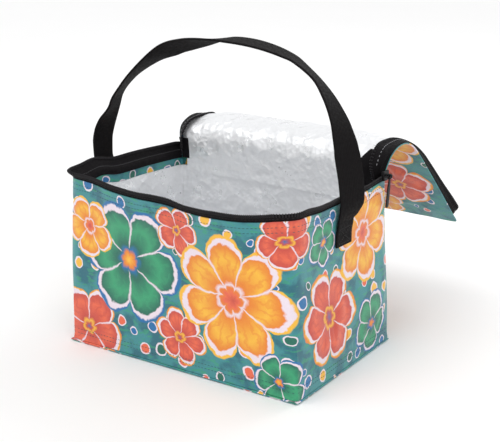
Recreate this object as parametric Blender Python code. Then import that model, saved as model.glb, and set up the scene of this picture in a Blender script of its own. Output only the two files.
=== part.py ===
"""Insulated drink holder: a soft zip-top carry bag for six cans or small bottles, lid folded back.

The frame is +X along the bag's long side, +Y towards the back where the lid is hinged, +Z up. The
origin is the middle of the base, on the surface that the bag stands on. All sizes are in metres.
"""
import math

import bmesh
import bpy
from mathutils import Vector

# Clearance between neighbouring sheets of the sewn bag
GAP = 0.0003

# Body: outer sizes of the wall, its rounded vertical corners and the layers it is made of
WALL_LENGTH = 0.217
WALL_WIDTH = 0.145
CORNER_RADIUS = 0.011
SKIN = 0.0010
FOAM = 0.0026
LINING = 0.0008
SEAM_HEIGHT = 0.137
BACK_RISE = 0.021

# Bottom: the pinched seam that stands out round the base, and the layers of the base
SEAM_FLANGE = 0.002
SEAM_THICK = 0.0022
SEAM_GRIP = 0.0048
BASE_SKIN = 0.0012
BASE_FOAM = 0.0030

# Rim: how far it bulges, dips and leans, and the zip tape, facing and coil that finish it
RIM_BULGE = 0.014
RIM_DIP = 0.0075
RIM_LEAN = 0.0045
TAPE = 0.0009
TAPE_ABOVE = 0.008
TAPE_BELOW = 0.007
FACING_HEIGHT = 0.0065
COIL_HEIGHT = 0.0022
COIL_THICK = 0.0014

# Lid: the fold behind the hinge, the padded panel and the zip round its edge; the slack is how
# much longer the whole lid is than the bag is wide
FOLD_LENGTH = 0.0332
FOLD_ANGLE = math.radians(12.2)
LID_SLACK = 0.0177
PANEL_ANGLE = math.radians(-44.8)
LID_FLARE = 0.0022
LID_CORNER = 0.009
LID_FOAM = 0.0024
LID_LINING = 0.0006
LID_TAPE_HEIGHT = 0.009
LID_FACING = 0.0055
LID_SEAM = 0.0025

# Handle: the webbing, its sewn ends, its swing axis below the rim and the arch that it stands in
WEB_WIDTH = 0.022
WEB_THICK = 0.0018
TAB_THICK = 0.0016
TAB_LENGTH = 0.015
SWING_DROP = 0.019
TAB_Y = -0.0025
ARCH_RISE = 0.134
ARCH_SPREAD = 0.0225
ARCH_LEAN = 0.0075

# Zip slider and pull, parked near the back right corner, its top just above the tape
SLIDER_LENGTH = 0.009
SLIDER_HEIGHT = 0.0080
SLIDER_THICK = 0.0022
SLIDER_BACK = 0.0130
SLIDER_ABOVE = 0.001
BRIDGE_RADIUS = 0.0008
BRIDGE_REACH = 0.0030
BRIDGE_FOOT = 0.0012
PULL_LENGTH = 0.026
PULL_WIDTH = 0.0044
PULL_THICK = 0.0016
PULL_EYE = 0.0024
PULL_RUN = 0.0003

# Zip ends, the black tape tails at the back corners
ZIP_END_WIDTH = 0.007
ZIP_END_HEIGHT = 0.014
ZIP_END_THICK = 0.0010

# Steps along each stretch of wall
FRONT_STEPS = 14
SIDE_STEPS = 8
BACK_STEPS = 6
CORNER_STEPS = 4

# Height shares of the rows of a wall, base to rim
ROW_SHARES = (0.0, 0.2, 0.42, 0.62, 0.78, 0.9, 1.0)

# Rim shape round the wall: place (side, share of that side's half length), then the shares of the
# bulge, of the dip (negative is higher) and of the outward lean of the tape. The right side is
# straight where the slider runs, with one bulge and lean
RUN_BULGE_SHARE = 0.05
RUN_DIP_SHARE = -0.40
RUN_LEAN_SHARE = 0.17
BACK_BULGE_SHARE = -0.07
TAB_BULGE_SHARE = 0.07
RIM_SHARES = (
    ("back right", 0.0, BACK_BULGE_SHARE, RUN_DIP_SHARE, 0.10),
    ("right", 1.0, RUN_BULGE_SHARE, RUN_DIP_SHARE, RUN_LEAN_SHARE),
    ("right", 0.8, RUN_BULGE_SHARE, -0.27, RUN_LEAN_SHARE),
    ("right", 0.58, RUN_BULGE_SHARE, -0.06, RUN_LEAN_SHARE),
    ("right", 0.34, RUN_BULGE_SHARE, 0.02, RUN_LEAN_SHARE),
    ("right", 0.0, TAB_BULGE_SHARE, 0.10, 0.25),
    ("right", -0.5, 0.12, 0.10, 0.30),
    ("right", -0.9, 0.20, -0.14, 0.30),
    ("right", -1.14, 0.30, -0.20, 0.30),
    ("front", 0.9, 0.50, 0.20, 0.30),
    ("front", 0.71, 0.88, 0.41, 0.30),
    ("front", 0.47, 1.0, 0.52, 0.30),
    ("front", 0.24, 0.82, 0.58, 0.25),
    ("front", 0.0, 0.70, 0.27, 0.25),
    ("front", -0.28, 0.70, 0.26, 0.25),
    ("front", -0.57, 0.56, 0.13, 0.25),
    ("front", -0.85, 0.22, -0.17, 0.45),
    ("left", -0.9, 0.10, -0.35, 1.0),
    ("left", -0.6, 0.12, -0.66, 0.8),
    ("left", -0.3, 0.02, -0.30, 0.35),
    ("left", 0.3, 0.0, -0.27, 0.25),
    ("back left", 0.0, BACK_BULGE_SHARE, -0.10, 0.10),
)

# Handle stations, right end to left end: share of the wall's half length, share of the arch's
# spread, share of its lean, share of its rise above the swing axis, and the webbing's roll about
# its own run, in degrees
ARCH_SHARES = (
    (1.0, 0.0, 0.0, -0.045, 0),
    (1.0, 0.0, 0.0, 0.0, 0),
    (1.0, 0.0, 0.0, 0.03, 0),
    (1.0, 0.15, -0.08, 0.082, -9),
    (1.0, 0.307, -0.33, 0.17, -23),
    (1.0, 0.27, -0.53, 0.287, -26.5),
    (1.0, 0.15, -0.60, 0.4, -27),
    (1.0, 0.08, -0.60, 0.455, -23),
    (0.978, 0.0, -0.60, 0.564, -9),
    (0.931, 0.0, -0.60, 0.655, 2.5),
    (0.867, 0.0, -0.60, 0.742, 11),
    (0.778, 0.0, -0.60, 0.828, 18),
    (0.643, 0.0, -0.60, 0.906, 14),
    (0.559, 0.0, -0.60, 0.939, 7),
    (0.438, 0.0, -0.60, 0.969, 2),
    (0.315, 0.0, -0.60, 0.989, -1),
    (0.2, 0.0, -0.60, 1.0, -2.5),
    (0.08, 0.0, -0.60, 1.004, -2),
    (-0.024, 0.0, -0.60, 1.0, 3),
    (-0.2, 0.0, -0.60, 0.974, 19),
    (-0.335, 0.0, -0.60, 0.95, 26),
    (-0.473, 0.0, -0.60, 0.915, 27.5),
    (-0.665, 0.0, -0.66, 0.833, 7),
    (-0.886, 0.0, -0.73, 0.692, -12),
    (-1.0, -0.09, -0.73, 0.554, -16),
    (-1.0, -0.52, -0.73, 0.43, 1),
    (-1.0, -0.74, -0.73, 0.347, 6),
    (-1.0, -0.83, -0.73, 0.27, 5),
    (-1.0, -0.80, -0.70, 0.213, 2),
    (-1.0, -0.62, -0.42, 0.149, 0),
    (-1.0, -0.30, -0.1, 0.088, 0),
    (-1.0, -0.07, 0.0, 0.056, 0),
    (-1.0, 0.0, 0.0, 0.03, 0),
    (-1.0, 0.0, 0.0, 0.0, 0),
    (-1.0, 0.0, 0.0, -0.045, 0),
)
CROWN_FROM_SHARE = 0.31
CROWN_TO_SHARE = 0.5

# Worked out from the sizes above
HALF_LENGTH = WALL_LENGTH / 2
HALF_WIDTH = WALL_WIDTH / 2
BACK_HEIGHT = SEAM_HEIGHT + BACK_RISE
WALL_BOTTOM = SEAM_THICK + GAP
FOAM_INSET = SKIN + GAP
LINING_INSET = FOAM_INSET + FOAM + GAP
TAPE_INSET = SKIN + GAP
LINING_DROP = TAPE_BELOW + FACING_HEIGHT + 2 * GAP
CORNER_X = HALF_LENGTH - CORNER_RADIUS
CORNER_Y = HALF_WIDTH - CORNER_RADIUS
FLAT_SEAM = math.asin((GAP / 2 + SKIN / 4) / CORNER_RADIUS)
BOTTOM_LIFT = BASE_SKIN + GAP
HINGE_Y = HALF_WIDTH + RIM_BULGE * BACK_BULGE_SHARE - SKIN - GAP
HINGE_Z = BACK_HEIGHT + GAP
FOLD_END_Y = HINGE_Y + FOLD_LENGTH * math.cos(FOLD_ANGLE)
FOLD_END_Z = HINGE_Z + FOLD_LENGTH * math.sin(FOLD_ANGLE)
LID_HALF = HALF_LENGTH
LID_REACH = WALL_WIDTH + LID_SLACK
PANEL_LENGTH = LID_REACH - FOLD_LENGTH
LID_FOAM_AT = SKIN + GAP
LID_LINING_AT = LID_FOAM_AT + LID_FOAM + GAP
LID_TAPE_INSET = GAP
LID_FOAM_INSET = LID_TAPE_INSET + TAPE + GAP
LID_LINING_INSET = LID_FOAM_INSET + LID_FACING + GAP
SWING_HEIGHT = SEAM_HEIGHT - SWING_DROP
TAB_BOTTOM = SWING_HEIGHT - TAB_LENGTH
RIGHT_FACE = HALF_LENGTH + RIM_BULGE * TAB_BULGE_SHARE + GAP
LEFT_FACE = HALF_LENGTH + GAP
SLIDER_FACE = HALF_LENGTH + RIM_BULGE * RUN_BULGE_SHARE + RIM_LEAN * RUN_LEAN_SHARE + GAP
SLIDER_Y = HALF_WIDTH - SLIDER_BACK
SLIDER_TOP = SEAM_HEIGHT - RIM_DIP * RUN_DIP_SHARE + TAPE_ABOVE + SLIDER_ABOVE
PULL_X = SLIDER_FACE + SLIDER_THICK + BRIDGE_REACH
PULL_Z = SLIDER_TOP - SLIDER_HEIGHT / 2

# Counts, limits and directions of the modelling itself
BACKWARDS = Vector((0, 1, 0))
SHARP_ANGLE = math.radians(35)
ROD_SIDES = 12
EYE_SIDES = 20
WEB_STEPS = 3
HALVINGS = 40
NUDGE = 0.01
TINY = 1e-6
HALF = 0.5


def material(name, colour, roughness, metallic=0.0):
    """A plain Principled finish."""
    finish = bpy.data.materials.new(name)
    finish.use_nodes = True
    shader = finish.node_tree.nodes["Principled BSDF"]
    shader.inputs["Base Color"].default_value = (*colour, 1.0)
    shader.inputs["Roughness"].default_value = roughness
    shader.inputs["Metallic"].default_value = metallic
    return finish


def add_object(name, shape, finish, smooth=True):
    """Turns a bmesh into a named object whose faces point outwards."""
    shape.normal_update()
    bmesh.ops.recalc_face_normals(shape, faces=shape.faces)
    mesh = bpy.data.meshes.new(name)
    shape.to_mesh(mesh)
    shape.free()
    mesh.materials.append(finish)
    piece = bpy.data.objects.new(name, mesh)
    bpy.context.scene.collection.objects.link(piece)
    if smooth:
        mesh.shade_smooth()
        mesh.set_sharp_from_angle(angle=SHARP_ANGLE)
    return piece


def blend_along(at, places, values):
    """Smooth value at a place between listed places, level where the values turn or stay the same."""
    if at <= places[0]:
        return values[0]
    if at >= places[-1]:
        return values[-1]
    i = max(n for n, place in enumerate(places[:-1]) if place <= at)
    span = places[i + 1] - places[i]
    slopes = []
    for n in (i, i + 1):
        low, high = max(n - 1, 0), min(n + 1, len(places) - 1)
        turns = low < n < high and (values[high] - values[n]) * (values[n] - values[low]) <= 0
        slopes.append(0.0 if turns else (values[high] - values[low]) / (places[high] - places[low]))
    t = (at - places[i]) / span
    start = (2 * t**3 - 3 * t**2 + 1) * values[i] + (t**3 - 2 * t**2 + t) * span * slopes[0]
    end = (3 * t**2 - 2 * t**3) * values[i + 1] + (t**3 - t**2) * span * slopes[1]
    return start + end


# Plan of the wall: stations with a place, an outward direction and a distance round the wall
ARC = CORNER_RADIUS * math.pi / 2
RIGHT_START = ARC / 2
FRONT_START = RIGHT_START + 2 * CORNER_Y + ARC
LEFT_START = FRONT_START + 2 * CORNER_X + ARC
OPEN_END = LEFT_START + 2 * CORNER_Y + ARC / 2


def side_place(side, share):
    """Distance round the wall of a share of one side's half length."""
    return {
        "back right": 0.0,
        "right": RIGHT_START + CORNER_Y - share * CORNER_Y,
        "front": FRONT_START + CORNER_X - share * CORNER_X,
        "left": LEFT_START + CORNER_Y + share * CORNER_Y,
        "back left": OPEN_END,
    }[side]


RIM_PLACES = [side_place(row[0], row[1]) for row in RIM_SHARES]


def rim_share(column, place):
    """Share of bulge, dip or lean at a distance round the wall; the back keeps its corners' value."""
    return blend_along(place, RIM_PLACES, [row[column] for row in RIM_SHARES])


def seam_height(station):
    """Height of the seam between the wall and the zip tape."""
    return SEAM_HEIGHT - RIM_DIP * rim_share(3, station[2])


def corner_arc(centre, start, stop, place):
    """Stations round one corner; angles are in degrees, turning clockwise."""
    found = []
    steps = max(round(CORNER_STEPS * abs(start - stop) / 90), 1)
    for n in range(steps + 1):
        angle = math.radians(start + (stop - start) * n / steps)
        out = Vector((math.cos(angle), math.sin(angle)))
        along = CORNER_RADIUS * math.radians(abs(start - stop)) * n / steps
        found.append((Vector(centre) + out * CORNER_RADIUS, out, place + along))
    return found


def straight(start, stop, out, steps, place):
    """Stations between the ends of one straight side."""
    start, stop = Vector(start), Vector(stop)
    found = []
    for n in range(1, steps):
        point = start.lerp(stop, n / steps)
        found.append((point, Vector(out), place + (point - start).length))
    return found


def open_stations():
    """Round the two sides and the front, from one back corner to the other."""
    seam = math.degrees(FLAT_SEAM)
    stations = corner_arc((CORNER_X, CORNER_Y), 45 - seam, 0, 0.0)
    stations += straight(
        (HALF_LENGTH, CORNER_Y), (HALF_LENGTH, -CORNER_Y), (1, 0), SIDE_STEPS, RIGHT_START
    )
    stations += corner_arc((CORNER_X, -CORNER_Y), 0, -90, FRONT_START - ARC)
    stations += straight(
        (CORNER_X, -HALF_WIDTH), (-CORNER_X, -HALF_WIDTH), (0, -1), FRONT_STEPS, FRONT_START
    )
    stations += corner_arc((-CORNER_X, -CORNER_Y), -90, -180, LEFT_START - ARC)
    stations += straight(
        (-HALF_LENGTH, -CORNER_Y), (-HALF_LENGTH, CORNER_Y), (-1, 0), SIDE_STEPS, LEFT_START
    )
    stations += corner_arc((-CORNER_X, CORNER_Y), 180, 135 + seam, OPEN_END - ARC / 2)
    return stations


def back_stations():
    """Along the back, from the middle of one back corner to the middle of the other."""
    seam = math.degrees(FLAT_SEAM)
    stations = corner_arc((-CORNER_X, CORNER_Y), 135 - seam, 90, OPEN_END)
    stations += straight(
        (-CORNER_X, HALF_WIDTH), (CORNER_X, HALF_WIDTH), (0, 1), BACK_STEPS, OPEN_END
    )
    stations += corner_arc((CORNER_X, CORNER_Y), 90, 45 + seam, OPEN_END)
    return stations


def back_height(station):
    """The back wall rises from the seam at its corners to the lid's hinge line."""
    low = seam_height(station)
    rise = max(math.degrees(math.asin(min(station[1].y, 1.0))) - 45, 0) / 45
    return low + (BACK_HEIGHT - low) * rise


def wall_point(station, height, inset):
    """A point of the wall: straight at the base, bulging towards the rim."""
    point, out, place = station
    level = min(height / seam_height(station), 1.0)
    offset = RIM_BULGE * rim_share(2, place) * level**2 - inset
    return Vector((*(point + out * offset), height))


def grid(name, rows, closed, thickness, finish):
    """A sheet through rows of points, with its thickness laid inwards."""
    shape = bmesh.new()
    verts = [[shape.verts.new(point) for point in row] for row in rows]
    count = len(rows[0])
    for low, high in zip(verts, verts[1:]):
        for n in range(count if closed else count - 1):
            m = (n + 1) % count
            shape.faces.new((low[n], high[n], high[m], low[m]))
    mesh = bpy.data.meshes.new(name)
    shape.to_mesh(mesh)
    shape.free()
    mesh.materials.append(finish)
    mesh.shade_smooth()
    sheet = bpy.data.objects.new(name, mesh)
    bpy.context.scene.collection.objects.link(sheet)
    solid = sheet.modifiers.new("thickness", "SOLIDIFY")
    solid.thickness = thickness
    solid.offset = -1
    solid.use_even_offset = True
    solid.use_rim = True
    return sheet


def wall_sheet(name, stations, bottom, top, inset, thickness, finish, closed=False):
    """One layer of the wall between two heights, which may change round the wall."""
    rows = []
    for share in ROW_SHARES:
        row = []
        for station in stations:
            low, high = bottom(station), top(station)
            row.append(wall_point(station, low + (high - low) * share, inset))
        rows.append(row)
    return grid(name, rows, closed, thickness, finish)


def tape_inset(station, height):
    """The tape is sewn inside the wall, and leans outwards above the seam."""
    rise = (height - seam_height(station) - GAP) / (TAPE_ABOVE - GAP)
    lean = RIM_LEAN * rim_share(4, station[2])
    return TAPE_INSET - (TAPE_INSET + lean) * min(max(rise, 0.0), 1.0)


def rim_tape(name, stations, finish):
    """The zip tape, from inside the wall to its free upper edge."""
    rows = []
    for offset in (-TAPE_BELOW, -TAPE_BELOW / 2, GAP, TAPE_ABOVE / 2, TAPE_ABOVE):
        row = []
        for station in stations:
            height = seam_height(station) + offset
            row.append(wall_point(station, height, tape_inset(station, height)))
        rows.append(row)
    return grid(name, rows, False, TAPE, finish)


def rim_coil(name, stations, finish):
    """The coil's strip, on the inner side of the tape along its upper edge."""
    shape = bmesh.new()
    loops = []
    for station in stations:
        top = seam_height(station) + TAPE_ABOVE
        lean = TAPE_INSET + RIM_LEAN * rim_share(4, station[2])
        slant = math.hypot(1, lean / TAPE_ABOVE)
        loop = []
        for depth, height in ((0, top - COIL_HEIGHT), (0, top), (1, top), (1, top - COIL_HEIGHT)):
            inset = tape_inset(station, height) + TAPE * slant + GAP + COIL_THICK * depth
            loop.append(shape.verts.new(wall_point(station, height, inset)))
        loops.append(loop)
    bridge(shape, loops)
    return add_object(name, shape, finish)


def bridge(shape, loops):
    """Joins a row of four-cornered sections into one closed bar."""
    count = len(loops[0])
    for near, far in zip(loops, loops[1:]):
        for n in range(count):
            m = (n + 1) % count
            shape.faces.new((near[n], near[m], far[m], far[n]))
    shape.faces.new(reversed(loops[0]))
    shape.faces.new(loops[-1])


def plate(name, outline, low, high, finish, place=None, smooth=False):
    """An outline raised into a plate; place turns (x, y, height) into a point of the part."""
    shape = bmesh.new()
    face = shape.faces.new([shape.verts.new((x, y, low)) for x, y in outline])
    raised = bmesh.ops.extrude_face_region(shape, geom=[face])
    up = [v for v in raised["geom"] if isinstance(v, bmesh.types.BMVert)]
    bmesh.ops.translate(shape, verts=up, vec=(0, 0, high - low))
    if place:
        for vert in shape.verts:
            vert.co = place(*vert.co)
    return add_object(name, shape, finish, smooth)


def rounded_outline(inset):
    """The base's rounded rectangle, drawn in by an inset."""
    stations = open_stations() + back_stations()
    return [tuple(point - out * inset) for point, out, _ in stations]


def base_seam(finish):
    """The pinched seam round the base, with a sharp tip past each rounded corner."""
    shape = bmesh.new()
    half = Vector((HALF_LENGTH + SEAM_FLANGE, HALF_WIDTH + SEAM_FLANGE))
    loops = []
    for point, out, _ in open_stations() + back_stations():
        centre = point - out * CORNER_RADIUS
        if abs(out.x) > 1 - TINY or abs(out.y) > 1 - TINY:
            outer = point + out * SEAM_FLANGE
        else:
            reach = min((half[i] - abs(centre[i])) / abs(out[i]) for i in (0, 1))
            outer = centre + out * reach
        inner = point - out * SEAM_GRIP
        corners = ((inner, 0), (outer, 0), (outer, SEAM_THICK), (inner, SEAM_THICK))
        loops.append([shape.verts.new((*spot, height)) for spot, height in corners])
    for near, far in zip(loops, loops[1:] + loops[:1]):
        for n in range(4):
            m = (n + 1) % 4
            shape.faces.new((near[n], near[m], far[m], far[n]))
    return add_object("base_seam", shape, finish, False)


def fold_place(x, along, height):
    """A point of the fold behind the hinge; height 0 is its printed face."""
    y = HINGE_Y + along * math.cos(FOLD_ANGLE) - height * math.sin(FOLD_ANGLE)
    z = HINGE_Z + along * math.sin(FOLD_ANGLE) + height * math.cos(FOLD_ANGLE)
    return Vector((x, y, z))


def panel_place(x, along, height):
    """A point of the lid's panel; height 0 is its printed face."""
    y = FOLD_END_Y + along * math.cos(PANEL_ANGLE) - height * math.sin(PANEL_ANGLE)
    z = FOLD_END_Z + along * math.sin(PANEL_ANGLE) + height * math.cos(PANEL_ANGLE)
    return Vector((x, y, z))


def lid_half(reach):
    """Half the lid's width at a distance from the hinge."""
    return LID_HALF + LID_FLARE * reach / LID_REACH


def panel_edge(inset):
    """The panel's edge, drawn in by an inset: out along +X, round the free edge and back."""
    near = GAP / 2
    far = PANEL_LENGTH - inset
    radius = LID_CORNER - inset
    half = lid_half(LID_REACH) - inset
    side = [(lid_half(FOLD_LENGTH) - inset, near)]
    for n in range(CORNER_STEPS + 1):
        angle = math.pi / 2 * n / CORNER_STEPS
        side.append((half - radius + radius * math.cos(angle), far - radius + radius * math.sin(angle)))
    return side + [(-x, along) for x, along in reversed(side)]


def panel_strip(name, inset, width, low, high, finish):
    """A strip along the three free edges of the panel."""
    outline = panel_edge(inset) + list(reversed(panel_edge(inset + width)))
    return plate(name, outline, low, high, finish, panel_place)


def fold_strip(name, side, inset, width, low, high, finish):
    """A strip along one end of the fold."""
    near, far = GAP / 2, FOLD_LENGTH - GAP / 2
    outline = [
        (side * (lid_half(0) - inset), near),
        (side * (lid_half(FOLD_LENGTH) - inset), far),
        (side * (lid_half(FOLD_LENGTH) - inset - width), far),
        (side * (lid_half(0) - inset - width), near),
    ]
    return plate(name, outline, low, high, finish, fold_place)


def fold_sheet(name, inset, low, high, finish):
    """A layer across the whole fold."""
    near, far = GAP / 2, FOLD_LENGTH - GAP / 2
    half_near, half_far = lid_half(0) - inset, lid_half(FOLD_LENGTH) - inset
    outline = [(half_near, near), (half_far, far), (-half_far, far), (-half_near, near)]
    return plate(name, outline, low, high, finish, fold_place)


def arch_stations():
    """Middle of the webbing and its roll about its own run, at each station of the handle."""
    found = []
    for along, spread, lean, rise, roll in ARCH_SHARES:
        face = (RIGHT_FACE if along > 0 else LEFT_FACE) + TAB_THICK + GAP + WEB_THICK / 2
        x = along * face + spread * ARCH_SPREAD
        y = TAB_Y + lean * ARCH_LEAN
        z = SWING_HEIGHT + rise * ARCH_RISE
        found.append((Vector((x, y, z)), math.radians(roll)))
    return found


def arch_at(t):
    """Middle and roll at a place along the handle, counted in stations."""
    stations = arch_stations()
    places = list(range(len(stations)))
    middle = Vector([blend_along(t, places, [s[0][i] for s in stations]) for i in range(3)])
    return middle, blend_along(t, places, [s[1] for s in stations])


def arch_place_at(rise, start, stop):
    """Place along the handle where it crosses a share of its rise, found by halving."""
    height = SWING_HEIGHT + rise * ARCH_RISE
    rising = arch_at(stop)[0].z > arch_at(start)[0].z
    for _ in range(HALVINGS):
        middle = (start + stop) / 2
        if (arch_at(middle)[0].z < height) == rising:
            start = middle
        else:
            stop = middle
    return start


def webbing(name, start, stop, finish):
    """A length of the handle's webbing between two places along it."""
    steps = max(round((stop - start) * WEB_STEPS), 2)
    shape = bmesh.new()
    loops = []
    for n in range(steps + 1):
        t = start + (stop - start) * n / steps
        middle, roll = arch_at(t)
        run = (arch_at(t + NUDGE)[0] - arch_at(t - NUDGE)[0]).normalized()
        level = (BACKWARDS - run * run.y).normalized()
        across = (level * math.cos(roll) + run.cross(level) * math.sin(roll)) * WEB_WIDTH / 2
        out = run.cross(across).normalized() * WEB_THICK / 2
        corners = (middle - across - out, middle - across + out, middle + across + out, middle + across - out)
        loops.append([shape.verts.new(corner) for corner in corners])
    bridge(shape, loops)
    return add_object(name, shape, finish)


def slab(name, low, high, finish, bevel=0.0):
    """A box between two corners, with its edges eased."""
    shape = bmesh.new()
    bmesh.ops.create_cube(shape, size=1)
    size = Vector(high) - Vector(low)
    for vert in shape.verts:
        vert.co = Vector(low) + Vector([(vert.co[i] + HALF) * size[i] for i in range(3)])
    piece = add_object(name, shape, finish, False)
    if bevel:
        ease = piece.modifiers.new("eased edges", "BEVEL")
        ease.width = bevel
        ease.segments = 2
        ease.limit_method = "ANGLE"
    return piece


def rod(name, middle, radius, length, finish, sides):
    """A round bar along Y."""
    shape = bmesh.new()
    bmesh.ops.create_cone(
        shape, cap_ends=True, segments=sides, radius1=radius, radius2=radius, depth=length
    )
    for vert in shape.verts:
        vert.co = Vector(middle) + Vector((vert.co.x, vert.co.z, -vert.co.y))
    return add_object(name, shape, finish)


def combine(piece, other, operation):
    """Joins, or cuts, one shape with another and hides the tool from the build."""
    other.hide_render = True
    other.display_type = "WIRE"
    change = piece.modifiers.new(other.name, "BOOLEAN")
    change.operation = operation
    change.object = other
    return piece


def zip_slider(finish):
    """The slider's body with the bridge that holds its pull."""
    face = SLIDER_FACE
    low, high = SLIDER_Y - SLIDER_LENGTH / 2, SLIDER_Y + SLIDER_LENGTH / 2
    body = slab(
        "zip_slider", (face, low, SLIDER_TOP - SLIDER_HEIGHT), (face + SLIDER_THICK, high, SLIDER_TOP),
        finish, BRIDGE_FOOT / 2,
    )
    inner = PULL_WIDTH / 2 + PULL_RUN
    for name, side in (("foot_front", -1), ("foot_back", 1)):
        near, far = sorted((SLIDER_Y + side * inner, SLIDER_Y + side * (inner + BRIDGE_FOOT)))
        foot = slab(
            name, (face + SLIDER_THICK / 2, near, PULL_Z - BRIDGE_RADIUS),
            (PULL_X + BRIDGE_RADIUS, far, PULL_Z + BRIDGE_RADIUS), finish,
        )
        combine(body, foot, "UNION")
    spot = (PULL_X, SLIDER_Y, PULL_Z)
    bar = rod("bridge_bar", spot, BRIDGE_RADIUS, 2 * inner + BRIDGE_FOOT, finish, ROD_SIDES)
    return combine(body, bar, "UNION")


def zip_pull(finish):
    """The pull: an eye round the slider's bridge, and the tab that hangs from it."""
    tab = slab(
        "zip_pull", (PULL_X - PULL_THICK / 2, SLIDER_Y - PULL_WIDTH / 2, PULL_Z - PULL_LENGTH),
        (PULL_X + PULL_THICK / 2, SLIDER_Y + PULL_WIDTH / 2, PULL_Z), finish, PULL_THICK / 4,
    )
    spot = (PULL_X, SLIDER_Y, PULL_Z)
    eye = rod("pull_eye", spot, PULL_EYE, PULL_WIDTH - PULL_RUN, finish, EYE_SIDES)
    bore = rod("pull_bore", spot, BRIDGE_RADIUS + PULL_RUN, 2 * PULL_WIDTH, finish, EYE_SIDES)
    combine(tab, eye, "UNION")
    return combine(tab, bore, "DIFFERENCE")


def build_body(print_cloth, black, foam, foil):
    """The bag's wall, base, rim and seams."""
    sides, back = open_stations(), back_stations()
    loop = sides + back
    top_all = [seam_height] * len(sides) + [back_height] * len(back)
    tops = {id(station): top for station, top in zip(loop, top_all)}

    def at_floor(station):
        return WALL_BOTTOM

    def padding_top(station):
        return tops[id(station)](station) - LINING_DROP

    wall_sheet("outer_wrap", sides, at_floor, seam_height, 0, SKIN, print_cloth)
    wall_sheet("back_panel", back, at_floor, back_height, 0, SKIN, print_cloth)
    wall_sheet("wall_foam", loop, at_floor, padding_top, FOAM_INSET, FOAM, foam, True)
    wall_sheet("wall_lining", loop, at_floor, padding_top, LINING_INSET, LINING, foil, True)
    wall_sheet(
        "rim_facing", sides, lambda s: seam_height(s) - TAPE_BELOW - GAP - FACING_HEIGHT,
        lambda s: seam_height(s) - TAPE_BELOW - GAP, FOAM_INSET, LINING, print_cloth,
    )
    rim_tape("rim_zip_tape", sides, black)
    rim_coil("rim_zip_coil", sides, black)
    base_seam(print_cloth)
    floor_inset = LINING_INSET + LINING + GAP
    layers = (
        ("base_skin", SEAM_GRIP + GAP, 0, BASE_SKIN, print_cloth),
        ("base_foam", floor_inset, BOTTOM_LIFT, BOTTOM_LIFT + BASE_FOAM, foam),
        ("base_lining", floor_inset, BOTTOM_LIFT + BASE_FOAM + GAP,
         BOTTOM_LIFT + BASE_FOAM + GAP + LINING, foil),
    )
    for name, inset, low, high, finish in layers:
        plate(name, rounded_outline(inset), low, high, finish)
    back_face = HALF_WIDTH + RIM_BULGE * BACK_BULGE_SHARE + GAP
    for name, side in (("zip_end_left", -1), ("zip_end_right", 1)):
        near, far = sorted((side * (CORNER_X - ZIP_END_WIDTH), side * CORNER_X))
        slab(
            name, (near, back_face, BACK_HEIGHT - ZIP_END_HEIGHT),
            (far, back_face + ZIP_END_THICK, BACK_HEIGHT), black,
        )


def build_lid(print_cloth, black, foam, foil):
    """The fold behind the hinge, and the padded panel with its zip."""
    fold_sheet("lid_fold_skin", 0, 0, SKIN, print_cloth)
    fold_sheet("lid_fold_lining", LID_FOAM_INSET, LID_FOAM_AT, LID_FOAM_AT + LID_LINING, foil)
    coil_inset = LID_TAPE_INSET + TAPE + GAP
    for word, side in (("left", -1), ("right", 1)):
        fold_strip("fold_zip_tape_" + word, side, LID_TAPE_INSET, TAPE, LID_FOAM_AT, LID_TAPE_HEIGHT, black)
        fold_strip(
            "fold_zip_coil_" + word, side, coil_inset, COIL_THICK,
            LID_TAPE_HEIGHT - COIL_HEIGHT, LID_TAPE_HEIGHT, black,
        )
    plate("lid_skin", panel_edge(0), 0, SKIN, print_cloth, panel_place)
    plate("lid_foam", panel_edge(LID_FOAM_INSET), LID_FOAM_AT, LID_FOAM_AT + LID_FOAM, foam, panel_place)
    plate(
        "lid_lining", panel_edge(LID_LINING_INSET), LID_LINING_AT, LID_LINING_AT + LID_LINING,
        foil, panel_place,
    )
    panel_strip(
        "lid_facing", LID_FOAM_INSET, LID_FACING, LID_LINING_AT, LID_LINING_AT + LID_LINING, print_cloth
    )
    panel_strip("lid_zip_tape", LID_TAPE_INSET, TAPE, LID_FOAM_AT, LID_TAPE_HEIGHT, black)
    panel_strip(
        "lid_zip_coil", coil_inset, COIL_THICK, LID_TAPE_HEIGHT - COIL_HEIGHT, LID_TAPE_HEIGHT, black
    )
    half = lid_half(LID_REACH) - LID_CORNER
    near, far = PANEL_LENGTH + GAP, PANEL_LENGTH + GAP + LID_SEAM
    outline = [(half, near), (half, far), (-half, far), (-half, near)]
    plate("lid_seam", outline, 0, SKIN, print_cloth, panel_place)


def build_handle(black):
    """The sewn ends on the wall and the webbing in its three lengths."""
    for name, side, face in (("handle_end_right", 1, RIGHT_FACE), ("handle_end_left", -1, LEFT_FACE)):
        near, far = sorted((side * face, side * (face + TAB_THICK)))
        slab(
            name, (near, TAB_Y - WEB_WIDTH / 2, TAB_BOTTOM), (far, TAB_Y + WEB_WIDTH / 2, SWING_HEIGHT), black
        )
    last = len(ARCH_SHARES) - 1
    right = arch_place_at(CROWN_FROM_SHARE, 0, last / 2)
    left = arch_place_at(CROWN_TO_SHARE, last / 2, last)
    step = GAP / (arch_at(right + NUDGE)[0] - arch_at(right)[0]).length * NUDGE
    webbing("handle_right", 0, right, black)
    webbing("handle_crown", right + step, left, black)
    webbing("handle_left", left + step, last, black)


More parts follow.
